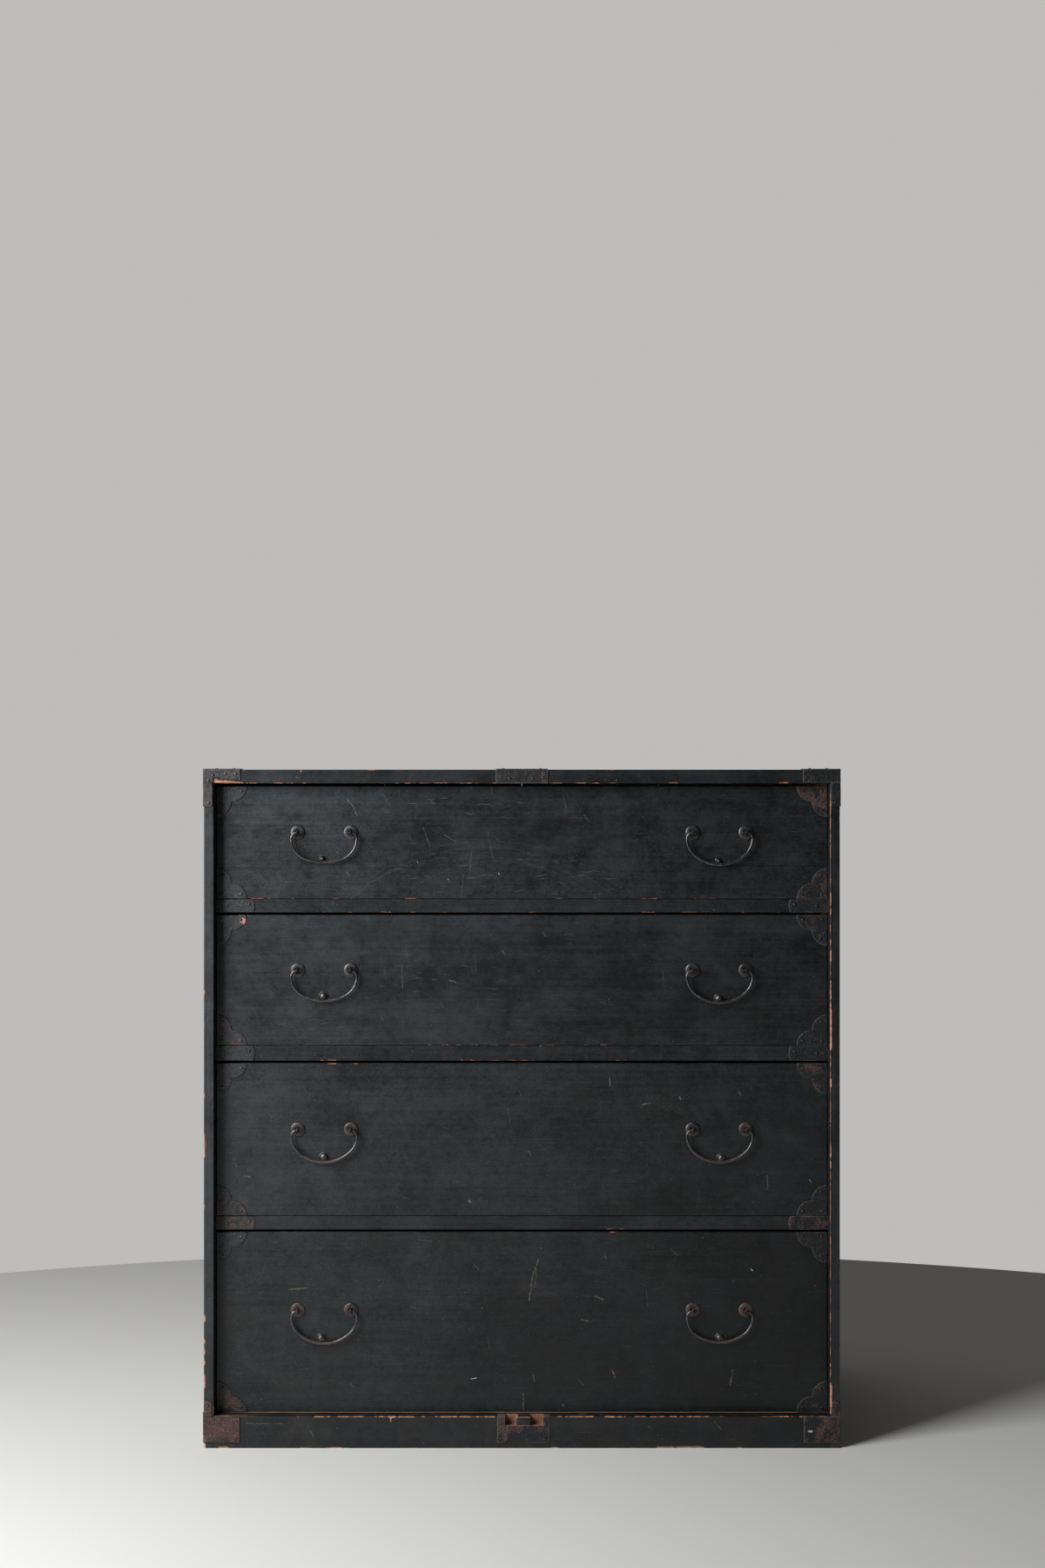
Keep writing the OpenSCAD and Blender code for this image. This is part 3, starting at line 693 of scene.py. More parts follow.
def lacquer(name, axis="x", dark=(0.0036, 0.0041, 0.0047), light=(0.0182, 0.0216, 0.0258), warm=(0.0205, 0.0196, 0.0178),
            warm_amount=0.3, seed=0.0, strokes=(), fields=(), rough=0.40, specks=1.0, edge_rub=1.0, scratch=1.0, rings=(),
            painted_light_falloff=None, spec=0.5, deep=None, painted_seam_shadow=None):
    """Worn black lacquer: cloudy and dusty, faint grain, fine scratches and light specks,
    brown and bare wood where the arrises are rubbed or chipped. strokes are (a, b, width,
    strength, kind), fields are lines (a, b, width, how much denser the scratches are)."""
    m = Mat(name)
    off = (seed * 7.3, seed * 3.1, seed * 5.7)
    cloud = m.noise(1 / 150, 3, 0.6, 0.6, off)
    patch = m.noise(1 / 42, 6, 0.64, 0.5, (off[1], off[2], off[0]))
    mottle = m.noise(1 / 8.5, 4, 0.62, 0.2, off)
    dust = m.noise(1 / 2.3, 3, 0.68, 0.0, (off[2], off[0], off[1]))
    grain = m.noise(along(axis, 200, 2.6), 4, 0.6, 0.1, off)
    grain2 = m.noise(along(axis, 90, 0.9), 2, 0.5, 0.0, off)
    streak = m.noise(along(axis, 260, 30), 4, 0.6, 0.9, (off[2], off[0] + 6, off[1]))
    tone = m.add(m.mul(cloud, 0.50), m.add(m.mul(patch, 0.40), m.mul(m.sub(streak, 0.5), 0.34)))
    tone = m.add(m.add(tone, 0.05), m.mul(m.sub(mottle, 0.5), 0.44))
    tone = m.add(tone, m.mul(m.sub(dust, 0.5), 0.72))
    tone = m.add(tone, m.mul(m.sub(grain, 0.5), 0.40))
    tone = m.step(tone, 0.33, 0.71, kind="LINEAR")
    col = m.mix(tone, dark, light)
    w = m.noise(1 / 70, 4, 0.6, 0.5, (off[2] + 40, off[0], off[1]))
    col = m.mix(m.mul(m.step(w, 0.45, 0.68), warm_amount), col, warm)
    cool = m.noise(1 / 55, 4, 0.6, 0.5, (off[0] + 17, off[2] + 4, off[1]))
    col = m.mix(m.mul(m.step(cool, 0.52, 0.70), 0.35), col, (0.0160, 0.0215, 0.0262))
    # rubbed cloudy haze
    haze = m.step(m.noise(1 / 60, 6, 0.68, 1.2, (off[0] + 11, off[1] + 5, off[2])), 0.54, 0.72)
    col = m.mix(m.mul(haze, 0.32), col, (0.030, 0.034, 0.038))
    # painted light: the colour is scaled along x from the first number at x = -400 mm to the second at x = 400 mm,
    # lighter on the left as if lit from there
    if painted_light_falloff:
        x = m.vec("DOT_PRODUCT", m.P, (1, 0, 0))
        col = m.vec("SCALE", col, scale=m.step(x, -400, 400, painted_light_falloff[0], painted_light_falloff[1], "LINEAR"))
    jig = m.noise(1 / 20, 2, 0.5, 0, off)
    Pn = m.vec("ADD", m.P, m.vec("SCALE", (1.0, 0.0, 0.6), scale=m.mul(m.sub(mottle, 0.5), 3.2)))
    crumbs = m.step(m.noise(1 / 2.4, 3, 0.6, 0, (4.0, 0, 2.0)), 0.38, 0.60, 0.12, 1.0)

    def painted(kind):
        total = None
        if kind == "pale":
            for centre, radius, width, gain in rings:
                one = m.mul(m.ring(centre, radius, width), gain)
                total = one if total is None else m.math("MAXIMUM", total, one)
        for a, b, width, strength, k in strokes:
            if k == kind:
                one = m.stroke(a, b, width, p=Pn if kind != "shade" else m.P, gain=strength)
                total = one if total is None else m.math("MAXIMUM", total, one)
        return total

    # painted shade: the shade strokes darken listed patches, among them the right ends of the lower fronts where the
    # light falls off
    shade = painted("shade")
    if shade is not None:
        torn = m.step(m.add(m.mul(patch, 0.7), m.mul(streak, 0.4)), 0.36, 0.70, 1.0, 0.25, "LINEAR")
        col = m.mix(m.mul(shade, torn), col, (0.0036, 0.0039, 0.0043))
    # hair scratches: long thin cells of a stretched pattern, in several directions
    marks = None
    dens = m.step(m.noise(1 / 80, 4, 0.6, 0.3, (off[1] + 3, off[0] + 9, off[2])), 0.44, 0.68, 0.22, 0.9)
    for a, b, width, more in fields:
        dens = m.add(dens, m.stroke(a, b, width, gain=more))
    P2 = m.vec("ADD", m.P, m.vec("SCALE", (1.0, 0.0, 1.0), scale=m.mul(jig, 9.0)))
    for i, (angle, length, wide, keep) in enumerate(((86, 58, 3.2, 0.52), (103, 50, 3.0, 0.58), (61, 54, 3.2, 0.62),
                                                     (-36, 60, 3.2, 0.60), (5, 130, 2.6, 0.70))):
        vn = m.voronoi((1 / length, 1 / 400, 1 / wide), (seed * 3 + i * 17.3, 0, seed + i * 4.1), (0, angle, 0), p=P2)
        line = m.step(vn.outputs["Distance"], 0.05, 0.15, 1.0, 0.0)
        some = m.step(m.vec("DOT_PRODUCT", vn.outputs["Color"], (1, 0, 0)), keep, keep + 0.04)
        weight = m.mul(m.vec("DOT_PRODUCT", vn.outputs["Color"], (0, 1, 0)), m.mul(line, some))
        marks = weight if marks is None else m.math("MAXIMUM", marks, weight)
    marks = m.mul(m.mul(marks, dens), 0.50 * scratch)
    pale = painted("pale")
    if pale is not None:
        marks = m.math("MAXIMUM", marks, m.mul(pale, crumbs))
    col = m.mix(marks, col, (0.150, 0.156, 0.160))
    # light specks of two sizes, and a few tiny chips
    v1 = m.voronoi(1 / 7.5, off)
    pick = m.step(m.vec("DOT_PRODUCT", v1.outputs["Color"], (0, 0, 1)), 0.66, 0.69)
    size = m.step(m.vec("DOT_PRODUCT", v1.outputs["Color"], (1, 0, 0)), 0.0, 1.0, 0.03, 0.085, "LINEAR")
    speck = m.mul(m.step(m.sub(v1.outputs["Distance"], size), -0.02, 0.02, 1.0, 0.0), pick)
    col = m.mix(m.mul(speck, 0.55 * specks), col, m.mix(m.step(w, 0.42, 0.60), (0.17, 0.172, 0.168), (0.150, 0.130, 0.095)))
    v2 = m.voronoi(1 / 26.0, (off[2], off[1] + 8, off[0]))
    pick2 = m.step(m.vec("DOT_PRODUCT", v2.outputs["Color"], (0, 1, 0)), 0.42, 0.45)
    size2 = m.step(m.vec("DOT_PRODUCT", v2.outputs["Color"], (0, 0, 1)), 0.0, 1.0, 0.008, 0.035, "LINEAR")
    near2 = m.add(v2.outputs["Distance"], m.mul(m.sub(dust, 0.5), 0.06))
    nick = m.mul(m.step(m.sub(near2, size2), -0.008, 0.008, 1.0, 0.0), pick2)
    tint = m.step(m.vec("DOT_PRODUCT", v2.outputs["Color"], (1, 0, 0)), 0.55, 0.75)
    col = m.mix(m.mul(nick, 0.8 * specks), col, m.mix(tint, (0.26, 0.27, 0.265), (0.23, 0.16, 0.105)))
    for kind, paint in (("dark", (0.0022, 0.0022, 0.0022)), ("ochre", (0.135, 0.118, 0.074)), ("blush", (0.052, 0.036, 0.030)),
                        ("white", (0.50, 0.50, 0.49)), ("wood", WOOD_HI)):
        total = painted(kind)
        if total is not None:
            col = m.mix(m.mul(total, crumbs) if kind in ("ochre", "wood", "blush") else total, col, paint)
    # rubbed arrises: brown line, broken by noise
    e = m.attr("edge")
    n1 = m.noise(1 / 11, 5, 0.65, 0.3, (off[0] + 2, off[1], off[2]))
    n2 = m.noise(1 / 2.3, 3, 0.6, 0.0, off)
    rubbed = m.add(m.step(e, 0.0, 2.1, 0.5, 0.0, "LINEAR"), m.add(m.mul(m.sub(n1, 0.5), 1.1), m.mul(m.sub(n2, 0.5), 0.45)))
    rub = m.mul(m.step(rubbed, 0.50, 0.68), m.step(e, 0.9, 1.9, 1.0, 0.0))
    col = m.mix(m.mul(rub, 0.40 * edge_rub), col, UNDER)
    worn = m.mul(m.step(m.add(rubbed, m.mul(m.sub(dust, 0.5), 0.5)), 0.62, 0.74), m.step(e, 0.5, 1.3, 1.0, 0.0))
    col = m.mix(m.mul(worn, 0.45 * edge_rub), col, (0.105, 0.098, 0.090))
    bare = m.mul(m.step(rubbed, 0.80, 0.88), m.step(e, 0.4, 1.0, 1.0, 0.0))
    col = m.mix(m.mul(bare, 0.6 * edge_rub), col, WOOD_LO)
    # painted shadow along the front's lower edge, darkest within half a millimetre of it
    if painted_seam_shadow is not None:
        col = m.mix(m.step(m.vec("DOT_PRODUCT", m.P, (0, 0, 1)), painted_seam_shadow + 0.5, painted_seam_shadow + 1.3, 0.92, 0.0), col, (0.0022, 0.0022, 0.0022))
    # chips down to the wood
    chip = m.add(m.attr("chip"), m.add(m.mul(m.sub(n2, 0.5), 0.75), m.mul(m.sub(n1, 0.5), 0.6)))
    has = m.step(m.attr("chip"), 0.02, 0.12)
    ring = m.mul(m.step(chip, 0.16, 0.32), has)
    wood = m.mul(m.step(chip, 0.34, 0.50), has)
    fibre = m.noise(along(axis, 22, 0.7), 3, 0.6, 0.2)
    wcol = m.mix(m.step(fibre, 0.3, 0.7), WOOD_LO, WOOD_HI)
    # painted shade: wood lying further back than y = deep, in the pockets and deep chips, is darkened
    if deep is not None:
        wcol = m.mix(m.mul(m.step(m.vec("DOT_PRODUCT", m.P, (0, 1, 0)), deep, deep + 3), 0.62), wcol, (0.060, 0.027, 0.018))
    col = m.mix(m.mul(ring, 0.8), col, UNDER)
    col = m.mix(wood, col, wcol)
    rg = m.add(rough - 0.10, m.mul(tone, 0.10))
    rg = m.add(rg, m.mul(patch, 0.14))
    rg = m.add(rg, m.mul(m.math("MAXIMUM", m.math("MAXIMUM", wood, rub), marks), 0.22), clamp=True)
    h = m.add(m.mul(grain, 0.5), m.mul(grain2, 0.16))
    h = m.add(h, m.add(m.mul(mottle, 0.22), m.mul(dust, 0.18)))
    h = m.sub(h, m.mul(marks, 0.25))
    h = m.sub(h, m.mul(wood, 0.8))
    h = m.add(h, m.mul(m.noise(1 / 38, 2, 0.5, 0, off), 2.2))
    nrm = m.bump(h, 0.32, 0.0006)
    return m.set(color=col, rough=rg, normal=nrm, spec=spec)


def bare_wood(name, axis, hi=(0.36, 0.235, 0.135), lo=(0.20, 0.120, 0.062), seed=0.0, dusty=0.3):
    """Old softwood inside: grain, darker late wood, dust and stains."""
    m = Mat(name)
    off = (seed * 9.1, seed * 4.3, seed * 2.9)
    g = m.noise(along(axis, 420, 7), 5, 0.6, 0.9, off)
    lineage = m.math("FRACT", m.mul(g, 9.0))
    late = m.step(lineage, 0.55, 0.95)
    fine = m.noise(along(axis, 60, 0.8), 3, 0.6, 0.0, off)
    col = m.mix(m.mul(late, 0.7), hi, lo)
    col = m.mix(m.mul(m.step(fine, 0.35, 0.75), 0.28), col, (0.12, 0.072, 0.04))
    stain = m.step(m.noise(1 / 120, 5, 0.62, 0.8, off), 0.5, 0.75)
    col = m.mix(m.mul(stain, 0.4), col, (0.13, 0.085, 0.05))
    dust = m.step(m.noise(1 / 70, 4, 0.6, 0.4, (off[1], off[2], off[0])), 0.42, 0.7)
    col = m.mix(m.mul(dust, dusty * 0.5), col, (0.33, 0.30, 0.26))
    e = m.attr("edge")
    col = m.mix(m.mul(m.step(e, 0.0, 1.6, 0.5, 0.0), m.noise(1 / 9, 3, 0.6, 0, off)), col, (0.42, 0.30, 0.19))
    h = m.add(m.mul(late, -0.25), m.mul(fine, 0.6))
    return m.set(color=col, rough=m.step(fine, 0.3, 0.7, 0.66, 0.82), normal=m.bump(h, 0.5, 0.0005), spec=0.25)


def plate_iron(name, seed=0.0, dark=(0.0090, 0.0098, 0.0108), mid=(0.0225, 0.0240, 0.0258), rust=(0.090, 0.042, 0.037),
               bright=(0.200, 0.098, 0.078), spots=()):
    """Thin old iron: blackened, flecked brown to red by the rust attribute, pitted. spots are
    (a, b, width, how much, kind): rust that is more or less dense, or bare copper, or white."""
    m = Mat(name)
    off = (seed * 5.1, seed * 8.3, seed * 1.9)
    big = m.step(m.noise(1 / 13, 5, 0.65, 0.6, off), 0.34, 0.66, kind="LINEAR")
    fine = m.step(m.noise(1 / 2.6, 5, 0.7, 0.3, off), 0.36, 0.64, kind="LINEAR")
    grit = m.step(m.noise(1 / 0.9, 3, 0.7, 0.0, off), 0.35, 0.65, kind="LINEAR")
    r = m.attr("rust")
    e = m.attr("edge")
    tone = m.add(m.mul(big, 0.45), m.mul(fine, 0.55))
    # painted light: plates left of x = -60 mm get lighter copies of the dark and mid colours, as if lit from the left
    right = m.step(m.vec("DOT_PRODUCT", m.P, (1, 0, 0)), -60, -40)
    col = m.mix(tone, m.mix(right, tuple(v * 1.35 for v in dark), dark), m.mix(right, tuple(v * 1.6 for v in mid), mid))
    sheen = m.step(m.noise(1 / 5.0, 4, 0.65, 0.3, (off[1], off[0], off[2])), 0.55, 0.66)
    col = m.mix(m.mul(sheen, 0.45), col, (0.060, 0.057, 0.055))
    level = m.add(r, m.add(m.mul(m.sub(big, 0.5), 0.72), m.mul(m.sub(fine, 0.5), 0.50)))
    level = m.add(level, m.step(e, 0.0, 2.0, 0.10, 0.0))
    for a, b, width, much, kind in spots:
        if kind == "rust":
            level = m.add(level, m.stroke(a, b, width, gain=much))
    rm = m.step(level, 0.36, 0.60)
    shade = m.mix(grit, (0.034, 0.0175, 0.0155), m.mix(m.step(level, 0.6, 1.0), m.mix(0.5, rust, (0.045, 0.026, 0.023)), rust))
    col = m.mix(rm, col, shade)
    pale = m.mul(m.step(m.add(m.mul(fine, 0.6), m.mul(grit, 0.5)), 0.72, 0.92), m.step(level, 0.45, 0.8))
    col = m.mix(m.mul(pale, 0.6), col, (0.175, 0.122, 0.112))
    bm = m.step(m.add(level, m.mul(m.sub(grit, 0.5), 0.4)), 1.06, 1.24)
    col = m.mix(m.mul(bm, 0.8), col, bright)
    pits = m.voronoi(1 / 4.2, off)
    pit = m.mul(m.step(pits.outputs["Distance"], 0.16, 0.26, 1.0, 0.0), m.step(m.vec("DOT_PRODUCT", pits.outputs["Color"], (0, 1, 0)), 0.55, 0.6))
    col = m.mix(m.mul(pit, 0.8), col, (0.0070, 0.0060, 0.0058))
    # painted shade and painted highlight on the rims: a dark line round the left-hand plates, where shadow falls, and a
    # light line round the right-hand plates, which face the light
    rim = m.mul(m.step(e, 0.25, 1.35, 1.0, 0.0), m.step(m.noise(1 / 4.0, 3, 0.6, 0, off), 0.26, 0.48, 0.35, 1.0))
    col = m.mix(m.mul(rim, m.step(right, 0, 1, 0.85, 0.66, "LINEAR")), col, m.mix(right, (0.0040, 0.0042, 0.0046), (0.105, 0.100, 0.092)))
    for a, b, width, much, kind in spots:
        if kind in ("copper", "white"):
            torn = m.step(m.add(m.stroke(a, b, width, gain=much), m.mul(m.sub(grit, 0.5), 0.45)), 0.34, 0.52)
            torn = m.mul(torn, m.step(m.stroke(a, b, width), 0.0, 0.2))
            col = m.mix(torn, col, (0.52, 0.51, 0.49) if kind == "white" else m.mix(fine, (0.32, 0.115, 0.070), (0.50, 0.33, 0.25)))
    h = m.add(m.mul(fine, 0.34), m.add(m.mul(grit, 0.12), m.mul(big, 0.3)))
    h = m.sub(h, m.mul(pit, 0.5))
    rg = m.add(0.36, m.add(m.mul(rm, 0.26), m.mul(fine, 0.12)), clamp=True)
    metal = m.step(rm, 0.0, 1.0, 0.30, 0.05)
    return m.set(color=col, rough=rg, metal=metal, normal=m.bump(h, 0.65, 0.0007), spec=0.4)


def forged_iron(name, seed=0.0, base=(0.19, 0.18, 0.175), dark=(0.055, 0.050, 0.048), brown=(0.070, 0.036, 0.029),
                rough=0.40, brown_bias=0.0, rugged=0.5, painted_flank_shade=False):
    """Hand-worn forged rod: grey metal, darker in the hollows, brown where held less. Where the brown attribute passes
    0.85 it is painted near black as shade, and when asked for, painted shade darkens the slanting flanks.
    """
    m = Mat(name)
    off = (seed * 2.3, seed * 6.1, seed * 3.7)
    big = m.noise(1 / 14, 4, 0.6, 0.3, off)
    fine = m.noise(1 / 1.8, 4, 0.65, 0.2, off)
    b = m.attr("brown")
    col = m.mix(m.step(m.add(m.mul(big, 0.6), m.mul(fine, 0.5)), 0.36, 0.70), dark, base)
    level = m.add(m.add(b, brown_bias), m.add(m.mul(m.sub(big, 0.5), 0.8), m.mul(m.sub(fine, 0.5), 0.7)))
    bm = m.step(level, 0.30, 0.75)
    col = m.mix(m.mul(bm, 0.85), col, brown)
    # painted shade: where the object-space normal slants away from all three axes, as on the flanks of a domed head,
    # the colour goes near black
    if painted_flank_shade:
        axes = [m.math("ABSOLUTE", m.vec("DOT_PRODUCT", m.normal, k)) for k in ((1, 0, 0), (0, 1, 0), (0, 0, 1))]
        tilt = m.math("MAXIMUM", m.math("MAXIMUM", axes[0], axes[2]), axes[1])
        col = m.mix(m.step(tilt, 0.80, 0.93, 0.9, 0.0), col, (0.0045, 0.0040, 0.0040))
    # painted shade: past 0.85 the brown attribute paints the iron near black, rougher and less metallic; only the ends
    # of the bails, where they go into the eyes, reach it
    painted_end_shade = m.step(b, 0.85, 1.15)
    col = m.mix(painted_end_shade, col, (0.010, 0.0085, 0.0080))
    h = m.add(m.mul(fine, 0.8), m.mul(m.noise(1 / 5.0, 3, 0.5, 0, off), 1.2))
    rg = m.add(rough, m.add(m.mul(bm, 0.18), m.add(m.mul(painted_end_shade, 0.25), m.mul(m.sub(fine, 0.5), 0.2))), clamp=True)
    metal = m.mul(m.step(bm, 0.0, 1.0, 0.85, 0.35), m.sub(1.0, m.mul(painted_end_shade, 0.9)))
    return m.set(color=col, rough=rg, metal=metal, normal=m.bump(h, rugged, 0.0006), spec=0.5)


# ---------------------------------------------------------------- wear seen on the chest, and patches of painted shade


def on_drawer(x, y):
    X, Z = pd(x, y)
    return (X, YD, Z)


def on_case(x, y):
    X, Z = px(x, y)
    return (X, YF, Z)


def marks(place, rows):
    """(x0, y0, x1, y1, width mm, strength, kind) in the picture's frame."""
    fine = {"pale": 0.62, "ochre": 0.78, "white": 0.46, "wood": 0.7}
    return [(place(r[0], r[1]), place(r[2], r[3]), r[4] * fine.get(r[6], 1.0), min(1.0, r[5] * (1.3 if r[6] == "ochre" else 1.0)), r[6]) for r in rows]


STROKES = {
    1: marks(on_drawer, [
        (399, 918, 406, 927, 1.6, 0.60, "pale"), (405, 925, 410, 937, 1.3, 0.45, "pale"),
        (486, 950, 494, 972, 1.2, 0.45, "pale"),
        (509, 958, 523, 966, 1.1, 0.45, "pale"),
        
        (560, 955, 566, 985, 1.0, 0.35, "pale"), 
        (572.5, 1002, 573.5, 1004, 1.2, 0.60, "white"), (398, 1001, 402, 1006, 1.6, 0.45, "pale"),
        
        
        (542, 973, 539, 1003, 2.2, 0.22, "pale"), (532, 1004, 530, 1029, 1.6, 0.22, "pale"), (564, 904, 565, 911, 1.6, 0.35, "pale"),
        (646, 913, 652, 934, 1.6, 0.30, "pale"), (670, 935, 676, 943, 2.0, 0.26, "pale"), (479, 988.5, 480, 990.5, 1.3, 0.45, "white"),
        (514, 1009, 515, 1010, 1.2, 0.40, "white"), (640, 936, 668, 939, 5.0, 0.35, "blush"), (270, 904, 292, 912, 5.0, 0.25, "blush"),
        (846, 960, 905, 985, 16.0, 0.18, "blush"),
        (440, 912, 448, 926, 1.4, 0.30, "pale"), (492, 917, 499, 923, 1.4, 0.30, "pale"),
        (450, 960, 700, 950, 40.0, 0.55, "shade"), (700, 930, 900, 950, 44.0, 0.40, "shade"), (560, 1015, 960, 1018, 30.0, 0.25, "shade"),
        (395, 925, 520, 935, 16.0, 0.25, "shade")]),
    2: marks(on_drawer, [
        (461, 1108, 462.5, 1134, 1.1, 0.40, "pale"), (516, 1125, 524, 1128, 1.3, 0.65, "ochre"),
        (577, 1091, 580, 1096, 1.6, 0.50, "pale"), (623, 1070, 627, 1075, 1.5, 0.45, "pale"),
        (466, 1084, 468, 1099, 1.0, 0.35, "pale"), (441, 1112, 443, 1124, 1.0, 0.30, "pale"),
        (545, 1095, 547, 1118, 1.0, 0.28, "pale"), (436, 1167, 440, 1171, 1.5, 0.45, "pale"),
        (618, 1203, 619, 1206, 2.2, 0.85, "white"), (505, 1150, 509, 1157, 1.2, 0.35, "pale"),
        (690, 1150, 696, 1152, 1.2, 0.3, "pale"), (760, 1112, 762, 1130, 1.0, 0.28, "pale"),
        (395, 1072, 560, 1080, 16.0, 0.78, "shade"), (545, 1078, 720, 1084, 18.0, 0.82, "shade"), (352, 1125, 392, 1128, 12.0, 0.45, "shade"),
        (440, 1118, 720, 1130, 62.0, 0.52, "shade"), (720, 1130, 840, 1140, 52.0, 0.30, "shade"), (620, 1180, 900, 1185, 24.0, 0.20, "shade"),
        (548, 1156, 556, 1166, 5.0, 0.25, "blush"), (470, 1168, 540, 1172, 9.0, 0.16, "blush"), (258, 1186, 280, 1192, 5.0, 0.3, "blush")]),
    3: marks(on_drawer, [
        (699.5, 1236, 701, 1247, 2.0, 0.50, "pale"), (780, 1259.5, 781.5, 1262, 2.0, 0.75, "ochre"),
        (738, 1268, 746, 1266.5, 1.9, 0.65, "ochre"), (849, 1253, 850.5, 1257, 1.6, 0.45, "ochre"),
        (281, 1350, 287, 1351, 2.0, 0.50, "ochre"), (538.5, 1378, 539.5, 1380, 1.8, 0.80, "white"),
        (881, 1350, 881.5, 1366, 1.5, 0.45, "ochre"), (929.5, 1354, 931, 1357, 1.8, 0.75, "ochre"),
        (583, 1272, 586, 1290, 1.1, 0.32, "pale"), (596, 1252, 600, 1262, 1.3, 0.35, "pale"),
        (268, 1330, 272, 1340, 1.4, 0.35, "pale"), (418, 1236, 424, 1242, 1.3, 0.35, "pale"),
        (822, 1276, 829, 1290, 6.5, 0.65, "dark"), (655, 1368, 680, 1372, 6.0, 0.35, "dark"),
        (607, 1321, 609, 1326, 1.6, 0.45, "pale"), (461, 1374, 470, 1376, 1.2, 0.3, "pale"),
        (812, 1262, 828, 1300, 13.0, 0.55, "shade"), (640, 1300, 960, 1300, 80.0, 0.30, "shade"), (760, 1350, 960, 1350, 60.0, 0.24, "shade"),
        (420, 1310, 640, 1330, 22.0, 0.14, "shade"), (745, 1262, 780, 1275, 8.0, 0.28, "blush"), (260, 1372, 285, 1380, 7.0, 0.25, "blush"),
        (560, 1346, 640, 1350, 6.0, 0.20, "shade")]),
    4: marks(on_drawer, [
        (618.5, 1446, 611, 1466, 1.3, 0.75, "ochre"), (612, 1462, 607.5, 1493, 1.3, 0.70, "ochre"),
        (616, 1449, 614.5, 1478, 1.0, 0.55, "ochre"), (601.2, 1600, 600.8, 1618, 1.4, 0.85, "ochre"),
        (841, 1573, 838.6, 1590, 1.6, 0.75, "ochre"), (332, 1480, 352, 1479, 1.7, 0.55, "ochre"),
        (684, 1488, 692, 1492, 2.0, 0.60, "ochre"), (668, 1515, 676, 1517, 2.0, 0.55, "ochre"),
        (703, 1572, 706, 1581, 1.6, 0.55, "wood"), (541, 1583, 547, 1582, 1.5, 0.75, "white"),
        (612.5, 1579, 613.5, 1586, 1.3, 0.55, "pale"), (645, 1612, 648, 1614, 1.5, 0.55, "ochre"),
        (480, 1423, 497, 1425, 1.1, 0.35, "pale"), (545, 1452, 549, 1457, 1.5, 0.50, "pale"),
        (862, 1457, 864, 1459, 1.5, 0.80, "white"), (770, 1434, 778, 1441, 1.3, 0.40, "ochre"),
        (693, 1440, 697, 1446, 1.4, 0.35, "pale"), (742, 1480, 744, 1500, 1.0, 0.30, "pale"),
        (470, 1500, 482, 1503, 1.2, 0.35, "pale"), (402, 1588, 405, 1592, 1.5, 0.40, "pale"),
        (663, 1583, 670, 1590, 1.2, 0.35, "ochre"), (560, 1535, 562, 1548, 1.0, 0.30, "pale"),
        (610, 1530, 960, 1530, 110.0, 0.42, "shade"), (820, 1600, 960, 1590, 70.0, 0.30, "shade"), (500, 1590, 700, 1596, 26.0, 0.20, "shade"),
        (290, 1556, 420, 1566, 20.0, 0.12, "shade"), (255, 1460, 420, 1470, 30.0, 0.12, "shade"), (600, 1478, 640, 1490, 12.0, 0.22, "blush"),
        (430, 1478, 520, 1492, 13.0, 0.14, "blush"), (670, 1458, 690, 1462, 4.0, 0.3, "blush")]),
}


def row_x(rows, y, z, plane):
    """Chips along an arris in x: (x0, x1, width), x in the picture's frame."""
    return [(plane(a), y, z, plane(b), y, z, w) for a, b, w in rows]


def row_z(rows, x, y):
    """Chips along an arris in z: (y0, y1, width), y in the picture's frame."""
    return [(x, y, (1662.5 - a) * 1.2047, x, y, (1662.5 - b) * 1.2047, w) for a, b, w in rows]


TOP_CHIPS = row_x([(247, 252, 8.5), (251, 259, 6.6), (258, 268, 4.8), (267, 277, 3.2), (276, 298, 1.7), (308, 337, 1.2),
                   (347, 351, 1.5), (454, 459, 1.1), (464, 500, 1.3), (500, 555, 1.5), (563, 572, 1.5), (627, 645, 1.3),
                   (656, 688, 1.5), (696, 708, 1.2), (768, 779, 2.2), (792, 798, 1.1), (834, 838, 1.1), (895, 905, 2.4),
                   (940, 944, 1.5)], YF, ZT, px)
TOP_CHIPS += [(px(341), YF, 928.5, px(344.5), YF, 936.5, 2.4), (px(700), YF, 938.2, px(716), YF, 938.2, 1.0),
              (px(420), YF, 938.2, px(431), YF, 938.2, 1.0)]
RAIL_CHIPS = row_x([(246, 262, 2.7), (260, 284, 1.9), (341, 347, 1.9), (361, 379, 1.8), (385, 440, 1.8), (440, 460, 2.6),
                    (460, 523, 2.0), (528, 568, 2.1), (574, 578, 1.9), (640, 681, 1.9), (695, 717, 2.2), (730, 741, 1.2),
                    (746, 790, 1.9), (790, 831, 1.8), (870, 898, 1.0), (896, 947, 2.0)], YF, BASE_H, px)
RAIL_CHIPS += [(px(449), YF, 43, px(449.5), YF, 37, 1.8), (px(247), YF + 4, BASE_H, px(282), YF + 5, BASE_H, 3.0),
               (px(285), YF + 2, BASE_H, px(300), YF + 2, BASE_H, 1.7), (px(905), YF + 1, BASE_H, px(946), YF + 1, BASE_H, 1.5),
               (px(336), YF, 0, px(358), YF, 0, 2.4), (px(376), YF, 0, px(399), YF, 0, 2.6), (px(252), YF, 0, px(260), YF, 0, 4.0), (px(476), YF, 0, px(479), YF, 0, 2.5),
               (px(634), YF, 0, px(639), YF, 0, 3.1), (px(726), YF, 0, px(730), YF, 0, 2.5), (px(755), YF, 0, px(773), YF, 0, 3.7),
               (px(778), YF, 0, px(806), YF, 0, 3.9), (px(848), YF, 0, px(851), YF, 0, 2.5), (px(352), YF, 0, px(366), YF, 0, 1.7)]
